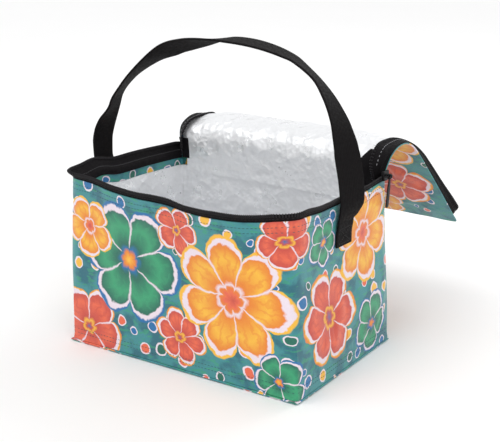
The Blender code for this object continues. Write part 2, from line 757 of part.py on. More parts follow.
def main():
    """Clears the scene and builds every piece."""
    for old in list(bpy.data.objects):
        bpy.data.objects.remove(old)
    print_cloth = material("printed satin polyester", (0.10, 0.35, 0.33), 0.45)
    black = material("black webbing and tape", (0.012, 0.011, 0.012), 0.8)
    foam = material("padding foam", (0.82, 0.82, 0.80), 0.9)
    foil = material("silver foil lining", (0.80, 0.80, 0.82), 0.25, 1.0)
    metal = material("black enamelled zip metal", (0.02, 0.02, 0.022), 0.35, 0.6)
    build_body(print_cloth, black, foam, foil)
    build_lid(print_cloth, black, foam, foil)
    build_handle(black)
    zip_slider(metal)
    zip_pull(metal)


main()
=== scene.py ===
"""Soft insulated drink holder: printed cloth, foil, padding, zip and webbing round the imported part.

Everything is in metres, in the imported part's own frame: +X along the bag's long side, +Y towards
the back, where the lid is folded over, +Z up from the surface that the bag stands on.
"""
import math

import bpy
from bpy.props import FloatProperty, FloatVectorProperty, PointerProperty
from mathutils import Matrix, Vector, noise
from mathutils.bvhtree import BVHTree


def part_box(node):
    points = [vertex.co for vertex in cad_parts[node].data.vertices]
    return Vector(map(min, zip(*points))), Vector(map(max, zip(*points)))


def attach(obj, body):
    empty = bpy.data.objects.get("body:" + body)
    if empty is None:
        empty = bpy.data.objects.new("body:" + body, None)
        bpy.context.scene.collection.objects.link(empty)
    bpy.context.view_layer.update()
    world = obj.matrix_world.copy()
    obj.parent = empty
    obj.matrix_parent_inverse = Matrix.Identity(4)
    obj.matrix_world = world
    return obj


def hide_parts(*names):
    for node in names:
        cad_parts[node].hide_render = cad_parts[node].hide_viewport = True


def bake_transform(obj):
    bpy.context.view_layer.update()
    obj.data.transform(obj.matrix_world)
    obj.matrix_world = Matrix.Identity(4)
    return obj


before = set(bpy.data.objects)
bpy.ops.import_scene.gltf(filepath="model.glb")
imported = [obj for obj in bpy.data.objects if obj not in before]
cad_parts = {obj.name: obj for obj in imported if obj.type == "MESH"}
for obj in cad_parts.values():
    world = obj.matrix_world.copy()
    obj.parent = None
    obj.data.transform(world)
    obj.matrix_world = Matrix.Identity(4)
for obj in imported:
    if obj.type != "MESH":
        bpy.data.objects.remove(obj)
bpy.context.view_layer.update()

bl_info = {
    "name": "Insulated drink holder",
    "version": (1, 0, 0),
    "blender": (4, 5, 0),
    "location": "View3D > Sidebar > Drink Holder",
    "description": "Builds the printed cloth, foil, zip and webbing of a soft drink holder",
    "category": "Object",
}

# Gap between neighbouring layers, and the distance at which two points are merged
GAP = 0.0003
MERGE = 1e-6

# Layers and edges that several pieces share
SEAM_GRIP = 0.0048
LID_FOIL = 0.0006
LID_FOIL_INSET = 0.0065
LID_PAD = 0.0024
LID_PAD_INSET = 0.0016
WALL_HEIGHT = 0.137
LINING_HEIGHT = 0.125

# Middle of the handle's sewn ends along the bag's sides
TAB_Y = -0.0025

# One turn of the coil and each kind of stitch, long, wide and high
TOOTH = (0.00095, 0.0021, 0.0024)
CLOTH_STITCH = (0.0022, 0.00045, 0.0004)
TAPE_STITCH = (0.0018, 0.00035, 0.0003)
INNER_STITCH = (0.0018, 0.0003, 0.00025)
BAND_STITCH = (0.0020, 0.0004, 0.0003)
WEB_STITCH = (0.0016, 0.0004, 0.0003)
TAPE_STITCH_PITCH = 0.0026

# How far a stitch lies over cloth and over tape
CLOTH_LIFT, TAPE_LIFT = 0.00005, 0.00003

# How far below the tape's edge the coil's turns are set, and where their upright direction is taken
TOOTH_DROP, TOOTH_FOOT = 0.0008, 0.003

# Thickness of the zip slider's body, and how far the rim's teeth stand inwards where it runs
SLIDER_THICK = 0.0022
SLIDER_ROOM = 0.0009

# Rim round the wall, clockwise from the back right corner: side, share of that side's half length,
# then the shares of the bulge, of the dip (negative is higher) and of the tape's outward lean
RIM_TABLE = (
    ("back right", 0.0, -0.07, -0.40, 0.10),
    ("right", 1.0, 0.05, -0.40, 0.17),
    ("right", 0.8, 0.05, -0.27, 0.17),
    ("right", 0.58, 0.05, -0.06, 0.17),
    ("right", 0.34, 0.05, 0.02, 0.17),
    ("right", 0.0, 0.07, 0.10, 0.25),
    ("right", -0.5, 0.12, 0.10, 0.30),
    ("right", -0.9, 0.20, -0.14, 0.30),
    ("right", -1.14, 0.30, -0.20, 0.30),
    ("front", 0.9, 0.50, 0.20, 0.30),
    ("front", 0.71, 0.88, 0.41, 0.30),
    ("front", 0.47, 1.0, 0.52, 0.30),
    ("front", 0.24, 0.82, 0.58, 0.25),
    ("front", 0.0, 0.70, 0.27, 0.25),
    ("front", -0.28, 0.70, 0.26, 0.25),
    ("front", -0.57, 0.56, 0.13, 0.25),
    ("front", -0.85, 0.22, -0.17, 0.45),
    ("left", -0.9, 0.10, -0.35, 1.0),
    ("left", -0.6, 0.12, -0.66, 0.8),
    ("left", -0.3, 0.02, -0.30, 0.35),
    ("left", 0.3, 0.0, -0.27, 0.25),
    ("back left", 0.0, -0.07, -0.10, 0.10),
)
BULGE, DIP, LEAN = 2, 3, 4

# How far each corner of the base stands from its place in the plan, by the signs of x and y
BASE_SHIFTS = {
    (-1, -1): (0.0055, -0.0085), (1, -1): (0.0090, -0.0041), (1, 1): (0.0029, -0.0025), (-1, 1): (0, 0),
}

# Printed face of the back wall and lid, from the base up and over the fold: y and z
LID_LINE = (
    (0.0725, 0.0), (0.0725, 0.04), (0.0723, 0.08), (0.0720, 0.12), (0.0717, 0.142), (0.0724, 0.1515),
    (0.0760, 0.1578), (0.0850, 0.1622), (0.0958, 0.1636), (0.1050, 0.1618), (0.1138, 0.1568),
    (0.1238, 0.1482), (0.1380, 0.1340), (0.1520, 0.1198), (0.1660, 0.1055), (0.1800, 0.0915),
    (0.1940, 0.0775),
)
FOLD_MIDDLE = 7

# Handle, right end to left end: share of the wall's half length, of the spread, of the lean, of the
# rise above the swing axis, and the webbing's roll about its own run in degrees
ARCH_TABLE = (
    (1.0, 0.0, 0.0, -0.112, 0), (1.0, 0.0, 0.0, -0.045, 0), (1.0, 0.0, 0.0, 0.0, 0),
    (1.0, 0.0, 0.0, 0.03, 0), (1.0, 0.15, -0.08, 0.082, -9), (1.0, 0.307, -0.33, 0.17, -23),
    (1.0, 0.27, -0.53, 0.287, -26.5), (1.0, 0.15, -0.60, 0.4, -27), (1.0, 0.08, -0.60, 0.455, -23),
    (0.978, 0.0, -0.60, 0.564, -9), (0.931, 0.0, -0.60, 0.655, 2.5), (0.867, 0.0, -0.60, 0.742, 11),
    (0.778, 0.0, -0.60, 0.828, 18), (0.643, 0.0, -0.60, 0.906, 14), (0.559, 0.0, -0.60, 0.939, 7),
    (0.438, 0.0, -0.60, 0.969, 2), (0.315, 0.0, -0.60, 0.989, -1), (0.2, 0.0, -0.60, 1.0, -2.5),
    (0.08, 0.0, -0.60, 1.004, -2), (-0.024, 0.0, -0.60, 1.0, 3), (-0.2, 0.0, -0.60, 0.974, 19),
    (-0.335, 0.0, -0.60, 0.95, 26), (-0.473, 0.0, -0.60, 0.915, 27.5), (-0.665, 0.0, -0.66, 0.833, 7),
    (-0.886, 0.0, -0.73, 0.692, -12), (-1.0, -0.09, -0.73, 0.554, -16), (-1.0, -0.52, -0.73, 0.43, 1),
    (-1.0, -0.74, -0.73, 0.347, 6), (-1.0, -0.83, -0.73, 0.27, 5), (-1.0, -0.83, -0.70, 0.185, 2),
    (-1.0, -0.70, -0.50, 0.125, 0), (-1.0, -0.30, -0.1, 0.076, 0), (-1.0, -0.07, 0.0, 0.050, 0),
    (-1.0, 0.0, 0.0, 0.03, 0), (-1.0, 0.0, 0.0, 0.0, 0), (-1.0, 0.0, 0.0, -0.045, 0),
    (-1.0, 0.0, 0.0, -0.112, 0),
)

# Lean of the lid's zip tape from upright towards the foil: distance along the lid, and degrees
TAPE_LEAN = (
    (0.138, 40), (0.150, 46), (0.158, 60), (0.166, 73), (0.172, 80), (0.180, 83), (0.190, 78),
    (0.200, 62), (0.210, 42), (0.222, 28), (0.235, 22), (0.250, 18), (0.270, 10), (0.290, -3),
    (0.303, -12),
)

# Blossoms of the print on the flat cloth: across, up, radius, petals, turn and colouring
WALL_BLOSSOMS = (
    (0.038, 0.040, 0.039, 6, 0.3, "sun"), (0.092, 0.098, 0.043, 5, 1.1, "teal"),
    (0.096, 0.022, 0.021, 5, 0.2, "coral"), (0.030, 0.110, 0.020, 6, 0.8, "coral"),
    (0.158, 0.018, 0.034, 5, 0.6, "coral"), (0.205, 0.082, 0.052, 6, 0.25, "teal"),
    (0.160, 0.100, 0.027, 5, 1.0, "sun"), (0.256, 0.118, 0.022, 5, 0.1, "coral"),
    (0.252, 0.030, 0.024, 6, 0.7, "coral"), (0.304, 0.072, 0.054, 7, 0.5, "sun"),
    (0.350, 0.122, 0.023, 5, 0.9, "coral"), (0.340, 0.014, 0.022, 5, 1.4, "teal"),
    (0.399, 0.052, 0.039, 6, 0.1, "coral"), (0.391, 0.112, 0.021, 5, 0.4, "teal"),
    (0.452, 0.104, 0.041, 6, 0.9, "sun"), (0.462, 0.028, 0.027, 5, 0.5, "teal"),
)
LID_BLOSSOMS = (
    (0.540, 0.050, 0.048, 6, 0.2, "sun"), (0.606, 0.102, 0.043, 5, 0.9, "teal"),
    (0.666, 0.044, 0.039, 6, 0.6, "coral"), (0.600, 0.026, 0.022, 5, 0.2, "coral"),
    (0.530, 0.126, 0.027, 5, 1.2, "coral"), (0.672, 0.124, 0.029, 6, 0.1, "sun"),
    (0.520, 0.196, 0.036, 6, 0.5, "sun"), (0.574, 0.172, 0.023, 5, 0.3, "teal"),
    (0.636, 0.190, 0.046, 6, 0.8, "coral"), (0.690, 0.178, 0.020, 5, 0.4, "teal"),
    (0.526, 0.262, 0.034, 5, 0.9, "coral"), (0.583, 0.246, 0.041, 6, 0.2, "teal"),
    (0.640, 0.270, 0.028, 5, 0.7, "sun"), (0.688, 0.232, 0.027, 6, 1.3, "sun"),
    (0.556, 0.300, 0.023, 5, 0.5, "sun"), (0.690, 0.296, 0.025, 5, 0.3, "coral"),
)


def ink(red, green, blue):
    """Linear colour from display values of 0 to 255."""
    shares = (red / 255, green / 255, blue / 255)
    return tuple(((c + 0.055) / 1.055) ** 2.4 if c > 0.0404 else c / 12.92 for c in shares)


def span(node):
    """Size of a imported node's box."""
    low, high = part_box(node)
    return high - low


def length(name, text, default):
    """A size that a user may change."""
    return FloatProperty(name=name, description=text, default=default, unit="LENGTH", precision=4)


def tint(name, text, default):
    """A colour that a user may change."""
    return FloatVectorProperty(
        name=name, description=text, default=default, subtype="COLOR", size=3, min=0, max=1
    )


class HolderSizes(bpy.types.PropertyGroup):
    """Sizes of the drink holder."""

    flange: length("Base flange", "How far the pinched base seam stands out", 0.002)
    seam_thick: length("Base seam thickness", "Height of the pinched base seam", span("base_seam").z)
    wall_length: length("Wall length", "Outer length of the bag at its base", span("base_seam").x - 0.004)
    wall_width: length("Wall width", "Outer width of the bag at its base", span("base_seam").y - 0.004)
    corner: length("Corner radius", "Radius of the upright corners", 0.011)
    seam_height: length("Rim seam height", "Height of the seam below the zip tape", 0.137)
    rim_bulge: length("Rim bulge", "Furthest that the rim stands out over the base", 0.014)
    rim_dip: length("Rim dip", "Furthest that the rim hangs below its seam height", 0.0075)
    rim_lean: length("Tape lean", "Furthest that the zip tape leans outwards", 0.0045)
    skin: length("Cloth thickness", "Thickness of the printed cloth with its backing", 0.001)
    foam: length("Foam thickness", "Thickness of the padding", 0.0026)
    foil: length("Foil thickness", "Thickness of the foil lining", 0.0008)
    tape: length("Tape thickness", "Thickness of the zip tape", 0.0009)
    tape_above: length("Tape above seam", "Width of the zip tape above the rim's seam", 0.0057)
    tape_below: length("Tape below seam", "Width of the zip tape inside the wall", 0.0082)
    facing: length("Facing height", "Height of the printed facing below the tape", 0.0065)
    lid_half: length("Lid half width", "Half the width of the lid at its fold", 0.1085)
    lid_flare: length("Lid flare", "How much wider the lid is at its free edge, each side", 0.0042)
    lid_corner: length("Lid corner", "Radius of the lid's free corners", 0.009)
    lid_tape: length("Lid tape", "Height of the zip tape round the lid", 0.0085)
    fold_band: length("Fold band", "Width of the black band beside the tape at the fold", 0.0062)
    lid_hem: length("Lid hem", "How far the printed cloth runs past the foil at the free edge", 0.0045)
    lid_droop: length("Lid droop", "How far the lid's free corners droop", 0.0012)
    web_width: length("Webbing width", "Width of the handle's webbing", 0.022)
    web_thick: length("Webbing thickness", "Thickness of the handle's webbing", 0.0018)
    swing_height: length("Swing height", "Height of the line that the handle swings about", 0.118)
    arch_rise: length("Handle rise", "Height of the handle above its swing line", 0.134)
    arch_spread: length("Handle spread", "Furthest that the handle stands out over the wall", 0.0225)
    arch_lean: length("Handle lean", "Furthest that the handle leans forward or back", 0.0075)
    tooth_pitch: length("Tooth pitch", "Distance from tooth to tooth of the zip", 0.0015)
    stitch_pitch: length("Stitch pitch", "Distance from stitch to stitch", 0.0031)


class HolderColours(bpy.types.PropertyGroup):
    """Colours of the drink holder."""

    ground: tint("Ground", "Ground colour of the print", ink(54, 134, 138))
    deep: tint("Deep ground", "Shaded brush strokes in the ground", ink(32, 100, 114))
    sun: tint("Sun yellow", "Yellow petals", ink(238, 180, 56))
    amber: tint("Amber", "Shaded part of the yellow petals", ink(224, 124, 38))
    coral: tint("Coral", "Coral petals", ink(224, 100, 68))
    rust: tint("Rust", "Shaded part of the coral petals", ink(190, 68, 58))
    teal: tint("Teal", "Green petals", ink(48, 152, 106))
    bottle: tint("Bottle green", "Shaded part of the green petals", ink(22, 100, 82))
    blue: tint("Blue", "Outlines and dots", ink(20, 104, 160))
    lilac: tint("Lilac white", "Edges of the petals", ink(228, 214, 224))
    thread: tint("Thread", "Stitches in the printed cloth", ink(28, 66, 70))
    webbing: tint("Webbing", "Handle", ink(13, 11, 12))
    tape: tint("Tape", "Zip tape", ink(15, 13, 15))
    coil: tint("Coil", "Nylon coil of the zip", ink(22, 20, 23))
    pale: tint("Pale thread", "Stitches in the zip tape", ink(150, 150, 154))
    foil: tint("Foil", "Silver foil lining", ink(249, 250, 252))
    foam: tint("Foam", "Padding", ink(226, 226, 222))
    enamel: tint("Enamel", "Zip slider and pull", ink(13, 12, 14))
    floor: tint("Floor", "Floor below the bag", ink(250, 250, 250))


def smooth_between(at, places, values):
    """Value at a place between listed places, level where the values turn or stay the same."""
    if at <= places[0]:
        return values[0]
    if at >= places[-1]:
        return values[-1]
    i = max(n for n, place in enumerate(places[:-1]) if place <= at)
    run = places[i + 1] - places[i]
    slopes = []
    for n in (i, i + 1):
        low, high = max(n - 1, 0), min(n + 1, len(places) - 1)
        turns = low < n < high and (values[high] - values[n]) * (values[n] - values[low]) <= 0
        slopes.append(0.0 if turns else (values[high] - values[low]) / (places[high] - places[low]))
    t = (at - places[i]) / run
    start = (2 * t**3 - 3 * t**2 + 1) * values[i] + (t**3 - 2 * t**2 + t) * run * slopes[0]
    return start + (3 * t**2 - 2 * t**3) * values[i + 1] + (t**3 - t**2) * run * slopes[1]


def ease(value, low, high):
    """Smooth step from 0 at low to 1 at high."""
    t = min(max((value - low) / (high - low), 0.0), 1.0)
    return t * t * (3 - 2 * t)


def wave(size, *place):
    """Seeded noise of one wave size, from about -1 to 1."""
    spot = Vector(place if len(place) == 3 else (*place, 0.0))
    return noise.noise(spot / size)


class BagShape:
    """Where every part of the bag's surface lies, from the sizes."""

    def __init__(self, sizes):
        self.z = sizes
        self.half_x, self.half_y = sizes.wall_length / 2, sizes.wall_width / 2
        self.cx, self.cy = self.half_x - sizes.corner, self.half_y - sizes.corner
        self.arc = sizes.corner * math.pi / 2
        self.right = self.arc / 2
        self.front = self.right + 2 * self.cy + self.arc
        self.left = self.front + 2 * self.cx + self.arc
        self.open_end = self.left + 2 * self.cy + self.arc / 2
        self.back = self.open_end + self.arc / 2
        self.round = self.back + 2 * self.cx + self.arc / 2
        self.back_run = self.round - self.open_end
        self.rim_places = [self.side_place(row[0], row[1]) for row in RIM_TABLE]
        self.lid_places = [0.0]
        for near, far in zip(LID_LINE, LID_LINE[1:]):
            self.lid_places.append(self.lid_places[-1] + math.dist(near, far))
        self.fold_middle = self.lid_places[FOLD_MIDDLE]
        self.lid_end = self.lid_places[-1]
        self.wall_bottom = sizes.seam_thick + GAP
        self.foil_inset = sizes.skin + sizes.foam + 3 * GAP
        self.lining_drop = sizes.tape_below + sizes.facing + 2 * GAP

    def side_place(self, side, share):
        """Distance round the wall of a share of one side's half length."""
        return {
            "back right": 0.0,
            "right": self.right + self.cy * (1 - share),
            "front": self.front + self.cx * (1 - share),
            "left": self.left + self.cy * (1 + share),
            "back left": self.open_end,
        }[side]

    def plan(self, s):
        """Point and outward direction of the wall's plan, clockwise from the back right corner."""
        s %= self.round
        sides = (
            (self.right, (self.half_x, self.cy), (0, -1), (1, 0), 2 * self.cy),
            (self.front, (self.cx, -self.half_y), (-1, 0), (0, -1), 2 * self.cx),
            (self.left, (-self.half_x, -self.cy), (0, 1), (-1, 0), 2 * self.cy),
            (self.back, (-self.cx, self.half_y), (1, 0), (0, 1), 2 * self.cx),
        )
        for start, corner, along, out, run in sides:
            if start <= s <= start + run:
                return Vector(corner) + Vector(along) * (s - start), Vector(out)
        if s > self.round / 2 and s > self.back:
            s -= self.round
        corners = (
            (0.0, (self.cx, self.cy), 45),
            (self.front - self.arc / 2, (self.cx, -self.cy), -45),
            (self.left - self.arc / 2, (-self.cx, -self.cy), -135),
            (self.open_end, (-self.cx, self.cy), 135),
        )
        middle, centre, turn = min(corners, key=lambda c: abs(s - c[0]))
        angle = math.radians(turn) - (s - middle) / self.z.corner
        out = Vector((math.cos(angle), math.sin(angle)))
        return Vector(centre) + out * self.z.corner, out

    def rim(self, column, s):
        """Share of bulge, dip or lean round the wall; the back runs level between its corners."""
        s %= self.round
        values = [row[column] for row in RIM_TABLE]
        if s > self.open_end:
            return values[-1] + (values[0] - values[-1]) * (s - self.open_end) / self.back_run
        return smooth_between(s, self.rim_places, values)

    def seam(self, s):
        """Height of the seam below the zip tape."""
        return self.z.seam_height - self.z.rim_dip * self.rim(DIP, s)

    def wall(self, s, height, inset=0.0):
        """A point of the wall: it bulges towards the rim, and flares to the pinched seam at its foot."""
        point, out = self.plan(s)
        level = min(height / self.seam(s), 1.0)
        bulge = self.z.rim_bulge * self.rim(BULGE, s) * level**2
        foot = ease(1 - level, 0.2, 1.0)
        square = (self.outline(s, 0.0) - point) * 0.92 * (1 - level) ** 0.7
        spot = point + square + self.shift(point) * foot + out * (bulge + 0.0014 * foot - inset)
        flare = 0.6 * max(1 - max(height - self.wall_bottom, 0) / 0.004, 0.0)
        return Vector((*spot.lerp(self.flange(s) - out * (inset + 0.0006), flare), height))

    def outline(self, s, beyond):
        """The wall's plan with its corners left sharp, and stood out by a distance."""
        point, out = self.plan(s)
        if max(abs(out.x), abs(out.y)) > 1 - MERGE:
            return point + out * beyond
        centre = point - out * self.z.corner
        half = (self.half_x + beyond, self.half_y + beyond)
        return centre + out * min((half[i] - abs(centre[i])) / abs(out[i]) for i in (0, 1))

    def shift(self, point):
        """How far the base stands from its plan at a point, between its four corners."""
        across = min(max((1 + point.x / self.half_x) / 2, 0.0), 1.0)
        back = min(max((1 + point.y / self.half_y) / 2, 0.0), 1.0)
        front = Vector(BASE_SHIFTS[-1, -1]).lerp(Vector(BASE_SHIFTS[1, -1]), across)
        return front.lerp(Vector(BASE_SHIFTS[-1, 1]).lerp(Vector(BASE_SHIFTS[1, 1]), across), back)

    def flange(self, s):
        """Outline of the pinched base seam, with a sharp tip at each corner."""
        return self.outline(s, self.z.flange) + self.shift(self.plan(s)[0])

    def tape_top(self, s):
        """Height of the tape above the seam, which is less where it nears the fold on the right."""
        return self.z.tape_above * (0.62 + 0.38 * ease(s, 0.022, 0.068))

    def tape(self, s, offset, inset=0.0):
        """A point of the rim's zip tape, by its distance above the seam."""
        lean, top = self.z.rim_lean * self.rim(LEAN, s), self.tape_top(s)
        rise = ease(offset, -0.002, top) * (self.z.skin + GAP + lean)
        rise -= 0.0034 * (1 - ease(offset, -0.0045, -0.0005))
        curl = 0.0004 * wave(0.014, s, 3.0) * ease(offset, 0.0, top)
        spot = self.wall(s, self.seam(s) + offset, self.z.skin + GAP - rise + inset + curl)
        spot.z += 0.0005 * wave(0.019, s, 7.0) * ease(offset, 0.0, top)
        return spot

    def lid_run(self, v):
        """Point, direction and inward normal of the lid's line, in y and z."""
        step = 0.0004
        base = min(v, self.lid_end)
        near, here, far = (
            Vector([smooth_between(p, self.lid_places, [spot[i] for spot in LID_LINE]) for i in (0, 1)])
            for p in (max(base - step, 0.0), base, min(base + step, self.lid_end))
        )
        along = (far - near).normalized()
        return here + along * (v - base), along, Vector((-along.y, along.x))

    def lid_half_at(self, v):
        """Half the lid's width along its line."""
        reach = max(v - 0.158, 0.0) / (self.lid_end - 0.158)
        return self.z.lid_half + self.z.lid_flare * reach**1.6

    def lid(self, x, v, depth=0.0):
        """A point of the lid by its place on the flat cut; depth is towards the foil side."""
        here, _, normal = self.lid_run(v)
        droop = self.z.lid_droop * ease(abs(x), 0.065, 0.112) * ease(v, 0.26, self.lid_end + 0.004)
        return Vector((x, *(here + normal * (depth - droop))))

    def pinch(self, x, v):
        """How far the lid is pressed flat at the sides of its fold, from 0 to 1."""
        near_side = ease(abs(x), self.lid_half_at(v) - 0.040, self.lid_half_at(v) - 0.008)
        return near_side * ease(v, 0.148, 0.164) * (1 - ease(v, 0.192, 0.218))

    def tape_lean(self, v):
        """Lean of the lid's zip tape towards the foil."""
        places, leans = zip(*TAPE_LEAN)
        return math.radians(smooth_between(v, places, leans))

    def tape_width(self, v):
        """Width of the black band at the lid's edge: the tape alone, or with the fold's band."""
        return self.z.lid_tape + self.z.fold_band * ease(v, 0.138, 0.153) * (1 - ease(v, 0.178, 0.206))

    def foil_depth(self, x, v):
        """Depth of the foil below the print's face, less where the fold is pressed flat."""
        return 0.0019 + (self.foil_inset + 0.0008 - 0.0019) * (1 - self.pinch(x, v))

    def edge_tape(self, d, height, inset=0.0):
        """A point of the zip tape round the lid, by its distance round the edge and up the tape."""
        x, v = self.lid_edge(d, GAP)
        before = self.lid_edge(max(d - 0.0005, 0.0), GAP)
        after = self.lid_edge(min(d + 0.0005, self.lid_edge_length(GAP)), GAP)
        way = Vector((after[0] - before[0], after[1] - before[1])).normalized()
        _, along, normal = self.lid_run(v)
        inward, up = Vector((-way.y, *(along * way.x))), Vector((0, *normal))
        return self.lid(x, v, self.z.skin + GAP) + self.lean_out(inward, up, v, height, inset)

    def lean_out(self, inward, up, v, height, inset):
        """Step from the lid's edge up its leaning tape, and through it towards the foil."""
        lean = self.tape_lean(v)
        stand_up = up * math.cos(lean) + inward * math.sin(lean)
        through = inward * math.cos(lean) - up * math.sin(lean)
        ripple = 0.0005 * wave(0.02, v, height * 2, 5.0) * ease(height, 0.001, 0.008)
        return stand_up * height + through * (inset + ripple)

    def back_cloth(self, share, v, depth=0.0, inset=0.0):
        """A point of the back wall and fold; share runs from the left corner to the right one."""
        s = self.open_end + share * self.back_run
        x = (2 * share - 1) * (self.lid_half_at(v) - inset)
        lid = self.lid(x, v, depth)
        if v > 0.162:
            return lid
        side = inset * (2 * share - 1)
        wall = self.wall(s, max(v, 0.0), depth)
        wall.x -= side
        return wall.lerp(lid, ease(v, 0.132, 0.160))

    def lid_edge(self, d, inset):
        """The lid's free edge on the flat cut, from the right of the fold round to its left."""
        end = self.lid_end - inset
        half = self.lid_half_at(self.lid_end) - inset
        radius = self.z.lid_corner - inset
        near = self.fold_middle
        side, turn, across = end - radius - near, radius * math.pi / 2, 2 * (half - radius)
        flip = 1
        if d > (2 * side + 2 * turn + across) / 2:
            flip, d = -1, 2 * side + 2 * turn + across - d
        if d <= side:
            start = self.lid_half_at(near) - inset
            return flip * (start + (half - start) * d / side), near + d
        if d <= side + turn:
            angle = (d - side) / radius
            across = half - radius + radius * math.cos(angle)
            return flip * across, end - radius + radius * math.sin(angle)
        return flip * (half - radius - (d - side - turn)), end

    def lid_edge_length(self, inset):
        """Length of the lid's free edge at an inset."""
        radius = self.z.lid_corner - inset
        half = self.lid_half_at(self.lid_end) - inset
        side = self.lid_end - inset - radius - self.fold_middle
        return 2 * side + radius * math.pi + 2 * (half - radius)

    def arch(self, t):
        """Middle of the handle's webbing and its roll about its run, at a place along it."""
        places = range(len(ARCH_TABLE))
        along, spread, lean, rise, roll = (
            smooth_between(t, places, [row[i] for row in ARCH_TABLE]) for i in range(5)
        )
        face = self.half_x + GAP + (0.001 if along > 0 else 0.0) + 0.0014 + self.z.web_thick / 2
        tuck = 0.0013 * (1 - ease(rise, -0.05, 0.03)) * (1 if along > 0 else -1)
        x = along * face + spread * self.z.arch_spread - tuck
        y = TAB_Y + lean * self.z.arch_lean
        return Vector((x, y, self.z.swing_height + rise * self.z.arch_rise)), math.radians(roll)


def choose(*pieces):
    """Selects these pieces alone, the first one active."""
    bpy.ops.object.select_all(action="DESELECT")
    for piece in pieces:
        piece.select_set(True)
    bpy.context.view_layer.objects.active = pieces[0]


def change(piece, kind, **settings):
    """Adds a modifier to a piece, and applies it."""
    choose(piece)
    bpy.ops.object.modifier_add(type=kind)
    modifier = piece.modifiers[-1]
    for name, value in settings.items():
        setattr(modifier, name, value)
    bpy.ops.object.modifier_apply(modifier=modifier.name)


def edit(piece, *steps):
    """Runs edit-mode steps on a whole piece, each an operator and its settings."""
    choose(piece)
    bpy.ops.object.mode_set(mode="EDIT")
    bpy.ops.mesh.select_all(action="SELECT")
    for operator, settings in steps:
        operator(**settings)
    bpy.ops.object.mode_set(mode="OBJECT")


def new_piece(name):
    """Names the primitive that was just added."""
    piece = bpy.context.active_object
    piece.name = piece.data.name = name
    return piece


def add_sheet(name, columns, rows, place, cloth_spot):
    """A grid of cloth: place gives each point, and cloth_spot its place on the flat cut, in metres."""
    bpy.ops.object.select_all(action="DESELECT")
    bpy.ops.mesh.primitive_grid_add(x_subdivisions=columns, y_subdivisions=rows, size=2)
    piece = new_piece(name)
    mesh = piece.data
    spots = [((vert.co.x + 1) / 2, (vert.co.y + 1) / 2) for vert in mesh.vertices]
    flat = [cloth_spot(*spot) for spot in spots]
    layer = mesh.uv_layers.active.data
    for loop in mesh.loops:
        layer[loop.index].uv = flat[loop.vertex_index]
    for vert, spot in zip(mesh.vertices, spots):
        vert.co = place(*spot)
    mesh.update()
    return piece


def add_ring(name, steps, sides, place, cloth_spot):
    """A closed bar that runs round: place takes shares of a turn and of the way round its section."""
    bpy.ops.object.select_all(action="DESELECT")
    bpy.ops.mesh.primitive_torus_add(
        major_segments=steps, minor_segments=sides, major_radius=2, minor_radius=1, generate_uvs=True
    )
    piece = new_piece(name)
    mesh = piece.data
    spots = []
    for vert in mesh.vertices:
        x, y, z = vert.co
        across = math.hypot(x, y) - 2
        turns = (math.atan2(y, x), math.atan2(z, across))
        spots.append(tuple(round(turn / math.tau % 1, 6) % 1 for turn in turns))
    layer = mesh.uv_layers.active.data
    for face in mesh.polygons:
        corners = [spots[n] for n in face.vertices]
        for axis in (0, 1):
            if max(c[axis] for c in corners) - min(c[axis] for c in corners) > 0.5:
                corners = [
                    tuple(v + 1 if n == axis and v < 0.5 else v for n, v in enumerate(c)) for c in corners
                ]
        for n, corner in zip(face.loop_indices, corners):
            layer[n].uv = cloth_spot(*corner)
    for vert, spot in zip(mesh.vertices, spots):
        vert.co = place(*spot)
    mesh.update()
    return piece


def add_bar(name, steps, sides, place, cloth_spot):
    """A bar with closed ends: place takes shares of the way along and of the way round its section."""
    piece = add_sheet(name, steps, sides, place, cloth_spot)
    edit(
        piece,
        (bpy.ops.mesh.remove_doubles, {"threshold": MERGE}),
        (bpy.ops.mesh.fill_holes, {"sides": 0}),
        (bpy.ops.mesh.normals_make_consistent, {"inside": False}),
    )
    return piece


def merge(piece):
    """Closes a sheet whose two ends meet."""
    edit(piece, (bpy.ops.mesh.remove_doubles, {"threshold": MERGE}))


def face_out(piece, outward):
    """Turns a sheet's faces so that the first one looks the given way."""
    face = piece.data.polygons[0]
    if face.normal.dot(outward(face.center)) < 0:
        edit(piece, (bpy.ops.mesh.flip_normals, {}))


def thicken(piece, thickness, offset=-1.0):
    """Gives a sheet its thickness, by default inwards from its outer face."""
    change(piece, "SOLIDIFY", thickness=thickness, offset=offset, use_even_offset=True, use_rim=True)


def dress(piece, finish, slot, body=None, replaced=(), angle=35):
    """Smooths a piece, gives it its finish, hangs it on the body that it rides on and hides the imported
    parts that it stands for.
    """
    piece.data.materials.clear()
    piece.data.materials.append(finish)
    choose(piece)
    bpy.ops.object.shade_smooth_by_angle(angle=math.radians(angle))
    if body:
        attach(piece, body)
    if replaced:
        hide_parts(*replaced)
    return piece


